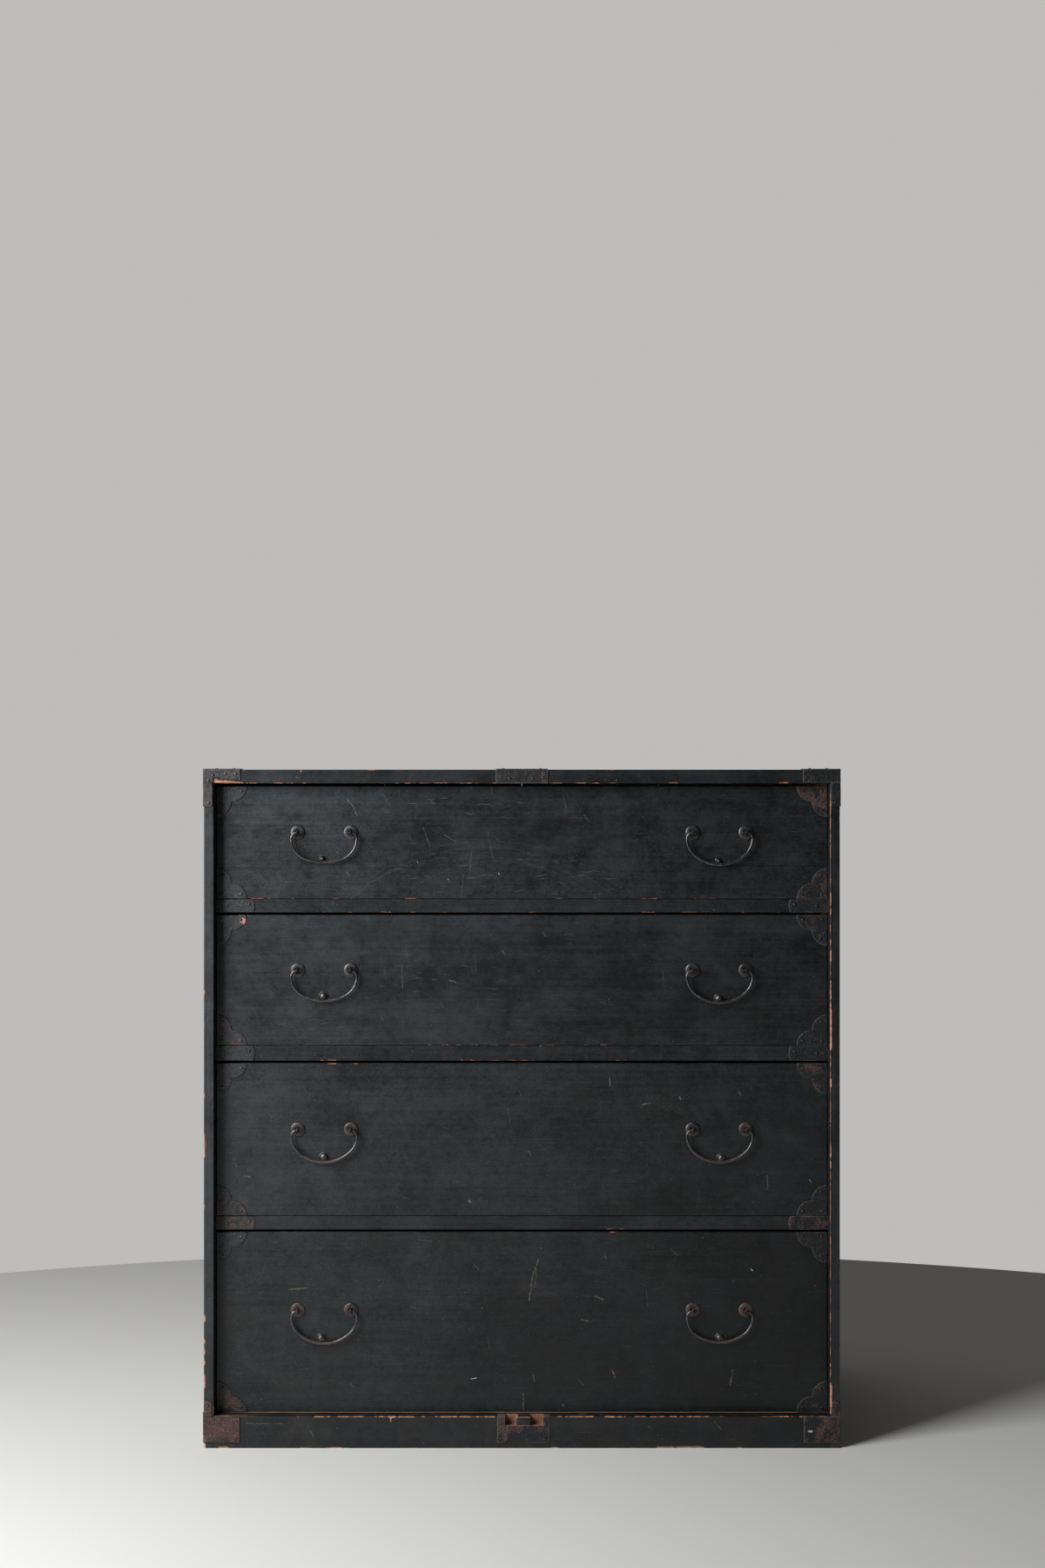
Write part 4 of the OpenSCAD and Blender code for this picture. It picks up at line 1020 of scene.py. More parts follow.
RIGHT_INNER = row_z([(901, 925, 1.5), (922, 1018, 1.1), (1017, 1060, 1.7), (1060, 1103, 2.0), (1103, 1128, 1.1), (1127, 1160, 2.0),
                     (1160, 1203, 3.3), (1203, 1238, 1.2), (1239, 1246, 3.0), (1250, 1316, 1.0), (1316, 1340, 2.0), (1345, 1470, 1.0),
                     (1480, 1550, 1.1), (1550, 1562, 1.9), (1565, 1590, 1.4), (1590, 1614, 4.0), (1612, 1622, 2.2)], XI, YF)
RIGHT_OUTER = row_z([(936, 953, 1.7), (1077, 1084, 1.5), (1290, 1296, 1.2), (1455, 1470, 1.2), (1517, 1590, 1.0), (1600, 1604, 2.2)], HW, YF)
LEFT_OUTER = row_z([(1136, 1142, 1.4), (1176, 1184, 1.4), (1256, 1263, 1.4), (1296, 1310, 1.4), (1310, 1328, 2.0), (1511, 1518, 2.8),
                    (1539, 1548, 2.3), (1552, 1568, 2.4), (1578, 1594, 2.4), (1030, 1034, 1.2), (1384, 1388, 1.2)], -HW, YF)
LEFT_OUTER += [(-HW, YF, 0, -HW, YF, 5, 4.0)]
LEFT_INNER = row_z([(1616, 1624, 1.8)], -XI, YF)


# ---------------------------------------------------------------- materials in use

TOP_LAC = lacquer("lacquer_top", "x", seed=1, spec=0.38, light=(0.0130, 0.0153, 0.0183), rough=0.42, warm_amount=0.3)
SIDE_LAC = lacquer("lacquer_sides", "z", seed=2, rough=0.42, warm_amount=0.3, painted_light_falloff=(1.16, 0.76))
BASE_LAC = lacquer("lacquer_bottom_rail", "x", seed=3, spec=0.42, deep=YF + 2.5, specks=1.6, warm=(0.030, 0.027, 0.022), warm_amount=0.5, rough=0.44, light=(0.0158, 0.0182, 0.0210),
                   painted_light_falloff=(0.88, 0.50), strokes=marks(
    on_case, [(282, 1634, 325, 1634.4, 1.1, 0.45, "ochre"), (929.5, 1642, 931, 1644.5, 4.2, 0.9, "white"),
              (744, 1637, 748, 1640, 1.6, 0.5, "pale"), (353, 1636, 360, 1650, 1.4, 0.4, "pale"),
              (820, 1632, 828, 1640, 1.4, 0.4, "ochre")]))
RAIL_LAC = lacquer("lacquer_rails", "x", seed=4, spec=0.38, edge_rub=0.8, light=(0.0135, 0.0157, 0.0186), rough=0.42, warm_amount=0.4)
FRONT_LAC = {
    1: lacquer("lacquer_drawer_1", "x", seed=5, painted_seam_shadow=LOWS[0], strokes=STROKES[1], light=(0.0196, 0.0238, 0.0285), rough=0.39, warm_amount=0.2, scratch=1.25,
               fields=[(on_drawer(440, 920), on_drawer(625, 930), 24, 1.3), (on_drawer(455, 1004), on_drawer(690, 1004), 36, 0.9)],
               rings=[(on_drawer(556, 1196), 271, 0.9, 0.13), (on_drawer(540, 1215), 282, 0.8, 0.11), (on_drawer(572, 1160), 208, 0.8, 0.10),
                      (on_drawer(560, 1203), 288, 0.7, 0.10), (on_drawer(548, 1188), 258, 0.7, 0.09)], painted_light_falloff=(1.00, 0.80)),
    2: lacquer("lacquer_drawer_2", "x", seed=6, painted_seam_shadow=LOWS[1], strokes=STROKES[2], light=(0.0190, 0.0226, 0.0268), rough=0.39, warm_amount=0.2,
               fields=[(on_drawer(400, 1110), on_drawer(560, 1125), 46, 0.8)], painted_light_falloff=(1.05, 0.72)),
    3: lacquer("lacquer_drawer_3", "x", seed=7, painted_seam_shadow=LOWS[2], strokes=STROKES[3], light=(0.0182, 0.0209, 0.0240), rough=0.41, warm_amount=0.25, scratch=0.8,
               painted_light_falloff=(1.12, 0.62), spec=0.42),
    4: lacquer("lacquer_drawer_4", "x", seed=8, painted_seam_shadow=LOWS[3], strokes=STROKES[4], light=(0.0178, 0.0204, 0.0232), rough=0.41, warm_amount=0.3, scratch=0.9,
               specks=1.2, painted_light_falloff=(1.04, 0.42), spec=0.38),
}
WOOD_X = bare_wood("wood_across", "x", seed=1)
WOOD_Y = bare_wood("wood_deep", "y", seed=2)
WOOD_Z = bare_wood("wood_upright", "z", hi=(0.33, 0.22, 0.13), seed=3, dusty=0.5)
IRON = plate_iron("iron_plates", seed=1, spots=[
    (on_drawer(274, 1420), on_drawer(276, 1422), 4.5, 0.55, "rust"), (on_case(931, 1618), on_case(931, 1664), 9, -0.62, "rust"), (on_case(940, 1660), on_case(966, 1662), 7, -0.5, "rust"),
    (on_case(929, 1643), on_case(932, 1643), 2.6, 1.0, "white"), (on_drawer(279, 1057), on_drawer(284, 1060), 7.5, 0.62, "copper"),
    (on_drawer(265, 1255), on_drawer(272, 1258), 5.0, 0.75, "white"), (on_case(240, 1655), on_case(262, 1654), 6, -0.45, "rust"),
    (on_case(590, 1650), on_case(629, 1652), 10, -0.55, "rust")])
NAILS = forged_iron("iron_nails", seed=2, base=(0.105, 0.100, 0.096), dark=(0.018, 0.017, 0.017), rough=0.36, painted_flank_shade=True)
STUD_IRON = forged_iron("iron_studs", seed=6, base=(0.105, 0.101, 0.095), dark=(0.040, 0.038, 0.036), brown=(0.100, 0.060, 0.044), rough=0.30)
ROSETTE = forged_iron("iron_rosettes", seed=3, base=(0.100, 0.098, 0.098), dark=(0.036, 0.034, 0.033), brown=(0.080, 0.043, 0.036), rough=0.40)
BAIL = forged_iron("iron_bails", seed=4, base=(0.118, 0.115, 0.112), dark=(0.062, 0.059, 0.057), brown=(0.068, 0.043, 0.038), rough=0.27, rugged=0.15)
PIN = forged_iron("iron_pins", seed=5, base=(0.030, 0.028, 0.027), dark=(0.012, 0.011, 0.011), rough=0.52)


def two_faced(o, material, inner):
    """Gives the faces for which inner(centre in mm, normal) holds a second material."""
    me = o.data
    me.materials.append(material)
    n = len(me.polygons)
    c, nm = np.zeros(n * 3), np.zeros(n * 3)
    me.polygons.foreach_get("center", c)
    me.polygons.foreach_get("normal", nm)
    which = inner(c.reshape(-1, 3) * 1000, nm.reshape(-1, 3)).astype(np.int32)
    me.polygons.foreach_set("material_index", which)
    return o


# ---------------------------------------------------------------- case

gap = 0.12
odd = [i for i in range(7) if i % 2]
even = [i for i in range(7) if not i % 2]

S = Shape()
cuts = []
for i in odd:
    a, b = YF + i * FINGER - gap, YF + (i + 1) * FINGER + gap
    cuts += [((XI - gap, a, ZT - 1), (HW + 1, b, ZH + 1)), ((-HW - 1, a, ZT - 1), (-XI + gap, b, ZH + 1))]
cuts += [((-433.0, 208.0, ZT - 1), (433.0, YB + 1, 927.5))]
board(S, (-HW, YF, ZT), (HW, YB, ZH), steps=(3.0, 9, 9), cuts=cuts, chips=TOP_CHIPS, r=0.75, seed=11,
      sharp_where=lambda p: (np.abs(p[:, 0]) > XI + 0.5) & (p[:, 2] < ZT + 3))
two_faced(S.make("top_board_piece", TOP_LAC, "case", "lacquer", "top_board"), WOOD_X,
          lambda c, n: (c[:, 2] < ZT + 0.5) & (c[:, 1] > YD + 14) & (np.abs(c[:, 0]) < XI) | (c[:, 1] > 207.5) & (c[:, 2] < 927.6) & (c[:, 1] < 214.5))

for side in (1, -1):
    S = Shape()
    cuts = [((XI - 1, YF + i * FINGER - (1 if i == 0 else 0), ZT), (HW + 1, YF + (i + 1) * FINGER + (1 if i == 6 else 0), ZH + 1))
            for i in even]
    cuts += [((XI - 1, YD, 26.0), (XI + 5, 208.0, BASE_H)), ((XI - 1, 208.0, 26.0), (XI + 6.5, YB + 1, 927.5))]
    cuts += [((XI - 1, YD, r), (XI + 5, YD + 35, r + t)) for r, t in zip(RAILS, RAIL_T)]
    chips = RIGHT_INNER + RIGHT_OUTER if side > 0 else [(-c[0],) + tuple(c[1:3]) + (-c[3],) + tuple(c[4:]) for c in LEFT_OUTER + LEFT_INNER]
    board(S, (XI, YF, 0), (HW, YB, ZH), steps=(9, 9, 3.0), cuts=cuts, chips=chips, r=0.7, seed=21 + side)
    if side < 0:
        S.v[-1] = S.v[-1] * np.array([-1, 1, 1])
        S.turn()
    name = "right_side" if side > 0 else "left_side"
    two_faced(S.make(name + "_piece", SIDE_LAC, "case", "lacquer", name), WOOD_Z,
              lambda c, n: (np.abs(c[:, 0]) < HW - 1) & (c[:, 1] > YD + 14) & (c[:, 1] < YB - 0.6) & (c[:, 2] > 1))

S = Shape()
pockets = [((-23.2, YF - 1, 31.0), (-7.5, YF + 12, BASE_H + 1)), ((11.7, YF - 1, 31.0), (29.8, YF + 12, BASE_H + 1))]
board(S, (-XI, YF, 0), (XI, YD, BASE_H), steps=(3.0, 4, 4),
      cuts=pockets + [((-34.0, YF - 1, 42.8), (38.0, YF + 12, BASE_H + 1))], chips=RAIL_CHIPS, r=0.8, seed=31)
v = S.v[-1]
inside = np.zeros(len(v), bool)
for lo, hi in pockets:
    inside |= (v[:, 0] > lo[0] - 0.3) & (v[:, 0] < hi[0] + 0.3) & (v[:, 1] < hi[1] + 0.3) & (v[:, 1] > YF + 0.2) & (v[:, 2] > 30.8)
block = (v[:, 0] > -9) & (v[:, 0] < 13) & (v[:, 2] > 41.5) & (v[:, 1] < YF + 3)
S.a["chip"][-1] = np.maximum(S.a["chip"][-1], np.where(inside, 0.75, np.where(block, 0.5, 0)))
two_faced(S.make("bottom_rail_piece", BASE_LAC, "case", "lacquer", "bottom_rail"), WOOD_X, lambda c, n: (c[:, 1] > YD - 0.5) & (c[:, 2] < BASE_H - 1.6))

def on_line(rows):
    """Chips along an edge in the plane of the drawers: (x0, x1, width), x in the picture's frame."""
    return [((a - 600) * 1.2129 + 0.9, (b - 600) * 1.2129 + 0.9, w) for a, b, w in rows]


rail_rows = [on_line([]), on_line([(617, 621, 1.4), (945, 953, 1.4)]), on_line([])]
low_rows = [
    on_line([(370, 372, 1.3), (399, 403, 1.0), (432, 448, 1.7), (468, 475, 1.2), (504, 513, 1.3), (516, 523, 1.2), (526, 531, 1.3),
             (552, 554, 1.2), (563, 565, 1.2), (606, 619, 0.9), (735, 750, 1.2), (785, 799, 1.3), (802, 818, 1.5), (852, 854, 1.2), (891, 895, 1.1)]),
    on_line([(369, 385, 2.0), (531, 555, 2.4), (563, 578, 1.2), (583, 590, 1.3), (592, 613, 1.4), (616, 623, 1.4), (651, 656, 1.2), (700, 720, 0.9)]),
    on_line([(268, 272, 1.2), (696, 719, 1.9)]),
]
for k in range(3):
    S = Shape()
    r, t = RAILS[k], RAIL_T[k]
    chips = [(a, YD, r + t, b, YD, r + t, w) for a, b, w in rail_rows[k]] + [(a, YD, r, b, YD, r, w) for a, b, w in low_rows[k]]
    board(S, (-431.5, YD, r), (431.5, YD + 35, r + t), steps=(3.2, 8, 5), chips=chips, r=0.6, seed=41 + k)
    two_faced(S.make(f"rail_{k + 1}_piece", RAIL_LAC, "case", "lacquer", f"rail_{k + 1}"), WOOD_X, lambda c, n: c[:, 1] > YD + 14)

S = Shape()
board(S, (-431.5, YD, 26.0), (431.5, 208.0, BASE_H), steps=(25, 25, 6), r=0.5, seed=51)
S.make("bottom_board_piece", WOOD_X, "case", "plain_wood", "bottom_board")

S = Shape()
for i in range(4):
    a = -433.0 + i * 866.0 / 4
    board(S, (a, 208.0, 26.0), (a + 866.0 / 4 - 0.4, 215.0, 927.5), steps=(16, 5, 16), r=0.6, wob=0.5, seed=61 + i)
S.make("back_boards_piece", WOOD_Z, "case", "plain_wood", "back_boards")

S = Shape()
for i in range(3):
    for s in (-1, 1):
        a, b = sorted((s * XI, s * (XI - 22)))
        board(S, (a, YD + 35, RAILS[i]), (b, 208.0, RAILS[i] + RAIL_T[i]), steps=(8, 20, 8), r=0.6, seed=71 + i)
S.make("side_runners_piece", WOOD_Y, "case", "plain_wood", "side_runners")


# ---------------------------------------------------------------- nails and studs


def spun(shape, profile, seg, origin, normal, tilt=(0, 0), spin=0.0, closed=False, jitter=0.0, seed=0, scale=(1, 1), **attrs):
    """A spun piece, turned the right way out."""
    one = Shape()
    put = placer(origin, normal, tilt, spin)
    lathe(one, profile, seg, lambda p: put(p * np.array([scale[0], scale[1], 1.0])), closed=closed, jitter=jitter, seed=seed)
    if one.volume() < 0:
        one.turn()
    shape.merge(one, **attrs)


NAIL = [(0, -9), (0.55, -8.6), (0.9, -7.4), (0.9, -0.25), (1.78, -0.12), (1.92, 0.10), (1.86, 0.36), (1.62, 0.62), (1.22, 0.80),
        (0.7, 0.95), (0.25, 0.995), (0, 1.0)]


def nails(shape, places, normal, seed=0, brown=0.3, size=1.0):
    for k, p in enumerate(places):
        a, b = rnd(seed, k, 1), rnd(seed, k, 2)
        g = size * (0.94 + 0.10 * a)
        prof = [(r * g if h > -0.2 else r, h * (0.78 + 0.18 * b) if h > 0 else h) for r, h in NAIL]
        spun(shape, prof, 14, p, normal, tilt=((a - 0.5) * 7, (b - 0.5) * 7), spin=a * 6, jitter=0.05, seed=seed * 31 + k,
             scale=(1.0, 0.94 + 0.06 * b), brown=brown + 0.3 * (rnd(seed, k, 3) - 0.5))


zh = ZH
top_nails = {
    -1: [(HW - 29.5, zh - 6), (HW - 44, zh - 6), (HW - 12.6, zh - 8), (HW - 6.8, zh - 15)],
    1: [(HW - 46.5, zh - 10.3), (HW - 17.5, zh - 10.3), (HW - 10.2, zh - 16)],
}
stile_nails = [(HW - 6.8, zh - 46), (HW - 5.6, BASE_H + 15), (HW - 6.6, BASE_H - 7.3), (HW - 6.6, BASE_H - 30)]
low_nails = [(HW - 45.2, BASE_H - 5.8), (HW - 44.2, BASE_H - 31.2)]
side_fold = [zh - 28, zh - 44, BASE_H - 12]
S = Shape()
yi = YF - 1.2
for side in (-1, 1):
    front = top_nails[side] + stile_nails + low_nails
    nails(S, [(side * x, yi, z) for x, z in top_nails[side] + stile_nails[:1]], (0, -1, 0), seed=3 + side, brown=0.25)
    nails(S, [(side * x, yi, z) for x, z in stile_nails[1:] + low_nails], (0, -1, 0), seed=13 + side, brown=0.6)
    nails(S, [(side * (HW + 1.2), YF + 15, z) for z in side_fold], (side, 0, 0), seed=23 + side, brown=0.4)
    nails(S, [(side * x, YF + 15, zh + 1.2) for x in (HW - 16, HW - 40)], (0, 0, 1), seed=33 + side, brown=0.3)
    for i in range(3):
        pts = [(XI - 16, RAILS[i] + RAIL_T[i] * 0.5), (XI - 47, RAILS[i] + RAIL_T[i] * 0.62)]
        nails(S, [(side * x, YD - 1, z) for x, z in pts], (0, -1, 0), seed=43 + side * 3 + i, brown=0.35)
nails(S, [(x, yi, zh - d) for x, d in ((-17, 12.5), (15, 12.5), (29.5, 11.5))], (0, -1, 0), seed=71, brown=0.4)
nails(S, [(x, YF + 15, zh + 1.2) for x in (-26, 26)], (0, 0, 1), seed=72, brown=0.3)
nails(S, [(-28.5, yi, BASE_H - 8.6), (-30, yi, BASE_H - 30.5), (32.7, yi, BASE_H - 9.5), (31, yi, BASE_H - 31.5)], (0, -1, 0),
      seed=73, brown=0.6)
S.make("case_nails_piece", NAILS, "case", "nail_iron", "case_nails")


# ---------------------------------------------------------------- case ironwork

S = Shape()
outer = ((-HW - 1.2, YF - 1.2, -5), (HW + 1.2, YB + 40, ZH + 1.2))
IRON_RUST = {("t", 1): 0.17, ("t", -1): 0.30, ("b", 1): 0.55, ("b", -1): 0.84}
for side in (1, -1):
    for kind in "tb":
        one, free = Shape(), []
        if kind == "t" and side < 0:
            free = [((XI - 40, YF - 3, ZT - 1), (XI + 0.6, YF + 3, ZT + 4.2)), ((XI - 22, YF - 3, ZT - 1), (XI + 0.6, YF + 3, ZT + 6.2)),
                    ((XI - 10, YF - 3, ZT - 1), (XI + 0.6, YF + 3, ZT + 8.0))]
        if kind == "t":
            boxes = [((HW - 51, YF - 1.2, ZT + 1.5), (HW + 1.2, YF, ZH + 1.2)),
                     ((HW - 12, YF - 1.2, ZH - 51), (HW + 1.2, YF, ZH)),
                     ((HW, YF - 1.2, ZH - 51), (HW + 1.2, YF + 25, ZH + 1.2)),
                     ((HW - 51, YF - 1.2, ZH), (HW + 1.2, YF + 25, ZH + 1.2))]
            bite = None
        else:
            boxes = [((HW - 50, YF - 1.2, 7.8), (HW + 1.2, YF, BASE_H)),
                     ((HW - 11, YF - 1.2, 7.8), (HW + 1.2, YF, BASE_H + 21)),
                     ((HW, YF - 1.2, 7.8), (HW + 1.2, YF + 25, BASE_H))]

            def bite(X, Y, Z):
                c = (X - (HW - 5.5)) ** 2 + (Z - 59.5) ** 2 > 5.6 ** 2
                return (Z > 59.5) & (c | (X > HW)) | (X > HW) & (Z > 50)
        _, v, v2 = sheet_lattice(one, boxes, cuts=free, step=1.25, seed=81 + side + (5 if kind == "b" else 0), wave=0.34, ref=outer, r=1.1,
                                 bite=bite, rust=IRON_RUST[(kind, side)])
        p = one.v[0]
        if side < 0:
            p = p * np.array([-1, 1, 1])
            one.turn()
            one.v[0] = p
        rim = np.minimum.reduce([np.abs(p[:, 2] - (7.8 if kind == "b" else ZT + 1.5)),
                                 np.abs(np.abs(p[:, 0]) - (HW - (50 if kind == "b" else 51))),
                                 np.abs(p[:, 2] - (BASE_H if kind == "b" else ZH + 1.2)), np.full(len(p), 6.0)])
        S.merge(one, edge=rim, rust=IRON_RUST[(kind, side)])
S.make("case_corner_irons_piece", IRON, "case", "plate_iron", "case_corner_irons")


def plate_outline_rail(side, z, h):
    """Rail end plate: straight, its inner end a shallow arc."""
    bulge = 2.4
    r = ((h / 2) ** 2 + bulge ** 2) / (2 * bulge)
    x0, x1 = XI - 55.0, XI
    a = math.asin(h / 2 / r)
    arc = [(x0 + r - r * math.cos(t), z + h / 2 + r * math.sin(t)) for t in np.linspace(a, -a, 14)]
    low = [(x, z) for x in np.linspace(arc[-1][0], x1, 34)[1:]]
    right = [(x1, q) for q in np.linspace(z, z + h, 12)[1:]]
    top = [(x, z + h) for x in np.linspace(x1, arc[0][0], 34)[1:-1]]
    pts = arc + low + right + top
    return [(side * x, q) for x, q in pts]


S = Shape()
RAIL_RUST = {(0, -1): 0.0, (0, 1): 0.16, (1, -1): -0.05, (1, 1): -0.05, (2, -1): 0.50, (2, 1): 0.42}
for i in range(3):
    for side in (-1, 1):
        z, h = RAILS[i], RAIL_T[i]
        sheet_plate(S, plate_outline_rail(side, z, h), (side * (XI - 27), z + h / 2), YD, 1.0, seed=91 + i * 2 + side,
                    wave=0.30, rust=RAIL_RUST[(i, side)])
S.make("rail_end_plates_piece", IRON, "case", "plate_iron", "rail_end_plates")

S = Shape()
sheet_lattice(S, [((-36, YF - 1.2, ZT), (36, YF, ZH + 1.2)), ((-36, YF - 1.2, ZH), (36, YF + 25, ZH + 1.2))], step=1.4, seed=101,
              wave=0.36, ref=outer, r=1.1, rust=0.20)
v = S.v[-1]
S.a["edge"][-1] = np.minimum(np.minimum(np.abs(np.abs(v[:, 0]) - 36), np.abs(v[:, 2] - ZT)), 6)
S.make("top_catch_plate_piece", IRON, "case", "plate_iron", "top_catch_plate")

S = Shape()


def eaten(X, Y, Z):
    """Rust has taken bites out of the lower rim and one hole."""
    low = 7.8 + 2.6 * np.clip(1 - np.abs(X + 18) / 8.5, 0, 1) + 0.7 * np.sin(X * 1.7) * (X > -30)
    hole = (X + 16.7) ** 2 + (Z - 13.2) ** 2 < 1.5 ** 2
    return (Y < YF + 0.1) & ((Z < low) | hole)


sheet_lattice(S, [((-34, YF - 1.2, 7.8), (38, YF, BASE_H)), ((-34, YF - 1.2, BASE_H - 1.2), (38, YF + 12, BASE_H))],
              cuts=[((-23.2, YF - 5, 32.0), (29.8, YF + 20, BASE_H + 2))], step=1.2, seed=111, wave=0.36, r=1.0,
              ref=((-40, YF - 1.2, -5), (50, YB, BASE_H)), bite=eaten, rust=0.5)
v = S.v[-1]
S.a["edge"][-1] = np.minimum.reduce([np.abs(v[:, 0] + 34), np.abs(v[:, 0] - 38), np.abs(v[:, 2] - 7.8), np.abs(v[:, 2] - BASE_H),
                                     np.abs(v[:, 2] - 32) + 6 * ((v[:, 0] < -24) | (v[:, 0] > 30.5)), np.full(len(v), 6.0)])
S.a["rust"][-1] = np.where(v[:, 0] < 2, 0.66, 0.42) + 0.0 * v[:, 0]
S.make("bottom_keeper_plate_piece", IRON, "case", "plate_iron", "bottom_keeper_plate")


# ---------------------------------------------------------------- drawers

CORNER_RUST = {
    (1, -1, 1): 0.27, (1, -1, 0): -0.05, (1, 1, 1): 0.50, (1, 1, 0): 0.32,
    (2, -1, 1): 0.03, (2, -1, 0): 0.28, (2, 1, 1): 0.24, (2, 1, 0): 0.0,
    (3, -1, 1): 0.10, (3, -1, 0): 0.36, (3, 1, 1): 0.34, (3, 1, 0): 0.14,
    (4, -1, 1): 0.02, (4, -1, 0): 0.46, (4, 1, 1): 0.14, (4, 1, 0): 0.22,
}


def lobes():
    """Outline of a corner plate from the corner: a square and two quarter discs."""
    s = 21.5
    pts = [(u, 0.0) for u in np.linspace(0, 43, 26)]
    pts += [(s + s * math.cos(t), s * math.sin(t)) for t in np.linspace(0, math.pi / 2, 24)[1:]]
    pts += [(s * math.cos(t), s + s * math.sin(t)) for t in np.linspace(0, math.pi / 2, 24)[1:]]
    pts += [(0.0, w) for w in np.linspace(43, 0, 26)[1:-1]]
    return pts


def bail_points(drop, seed):
    """Path of a bail's rod in x, z about its axis."""
    bend, side = 8.5, 30.0
    cx, cz = 45.6 - side, -bend
    low = (cx ** 2 + (drop - bend) ** 2 - side ** 2) / (2 * (drop - bend) - 2 * side)
    a = math.atan2(cx, low - drop - cz)
    pts = [(x, 0.0) for x in np.linspace(31.0, 37.1, 6)[:-1]]
    pts += [(37.1 + bend * math.cos(t), -bend + bend * math.sin(t)) for t in np.linspace(math.pi / 2, 0, 15)[:-1]]
    pts += [(cx + side * math.cos(t), cz - side * math.sin(t)) for t in np.linspace(0, math.pi / 2 - a, 26)[:-1]]
    pts += [(low * math.cos(t), low - drop + low * math.sin(t)) for t in np.linspace(-math.pi / 2 + a, -math.pi / 2, 22)]
    pts = pts + [(-x, z) for x, z in reversed(pts[:-1])]
    return np.array(pts)


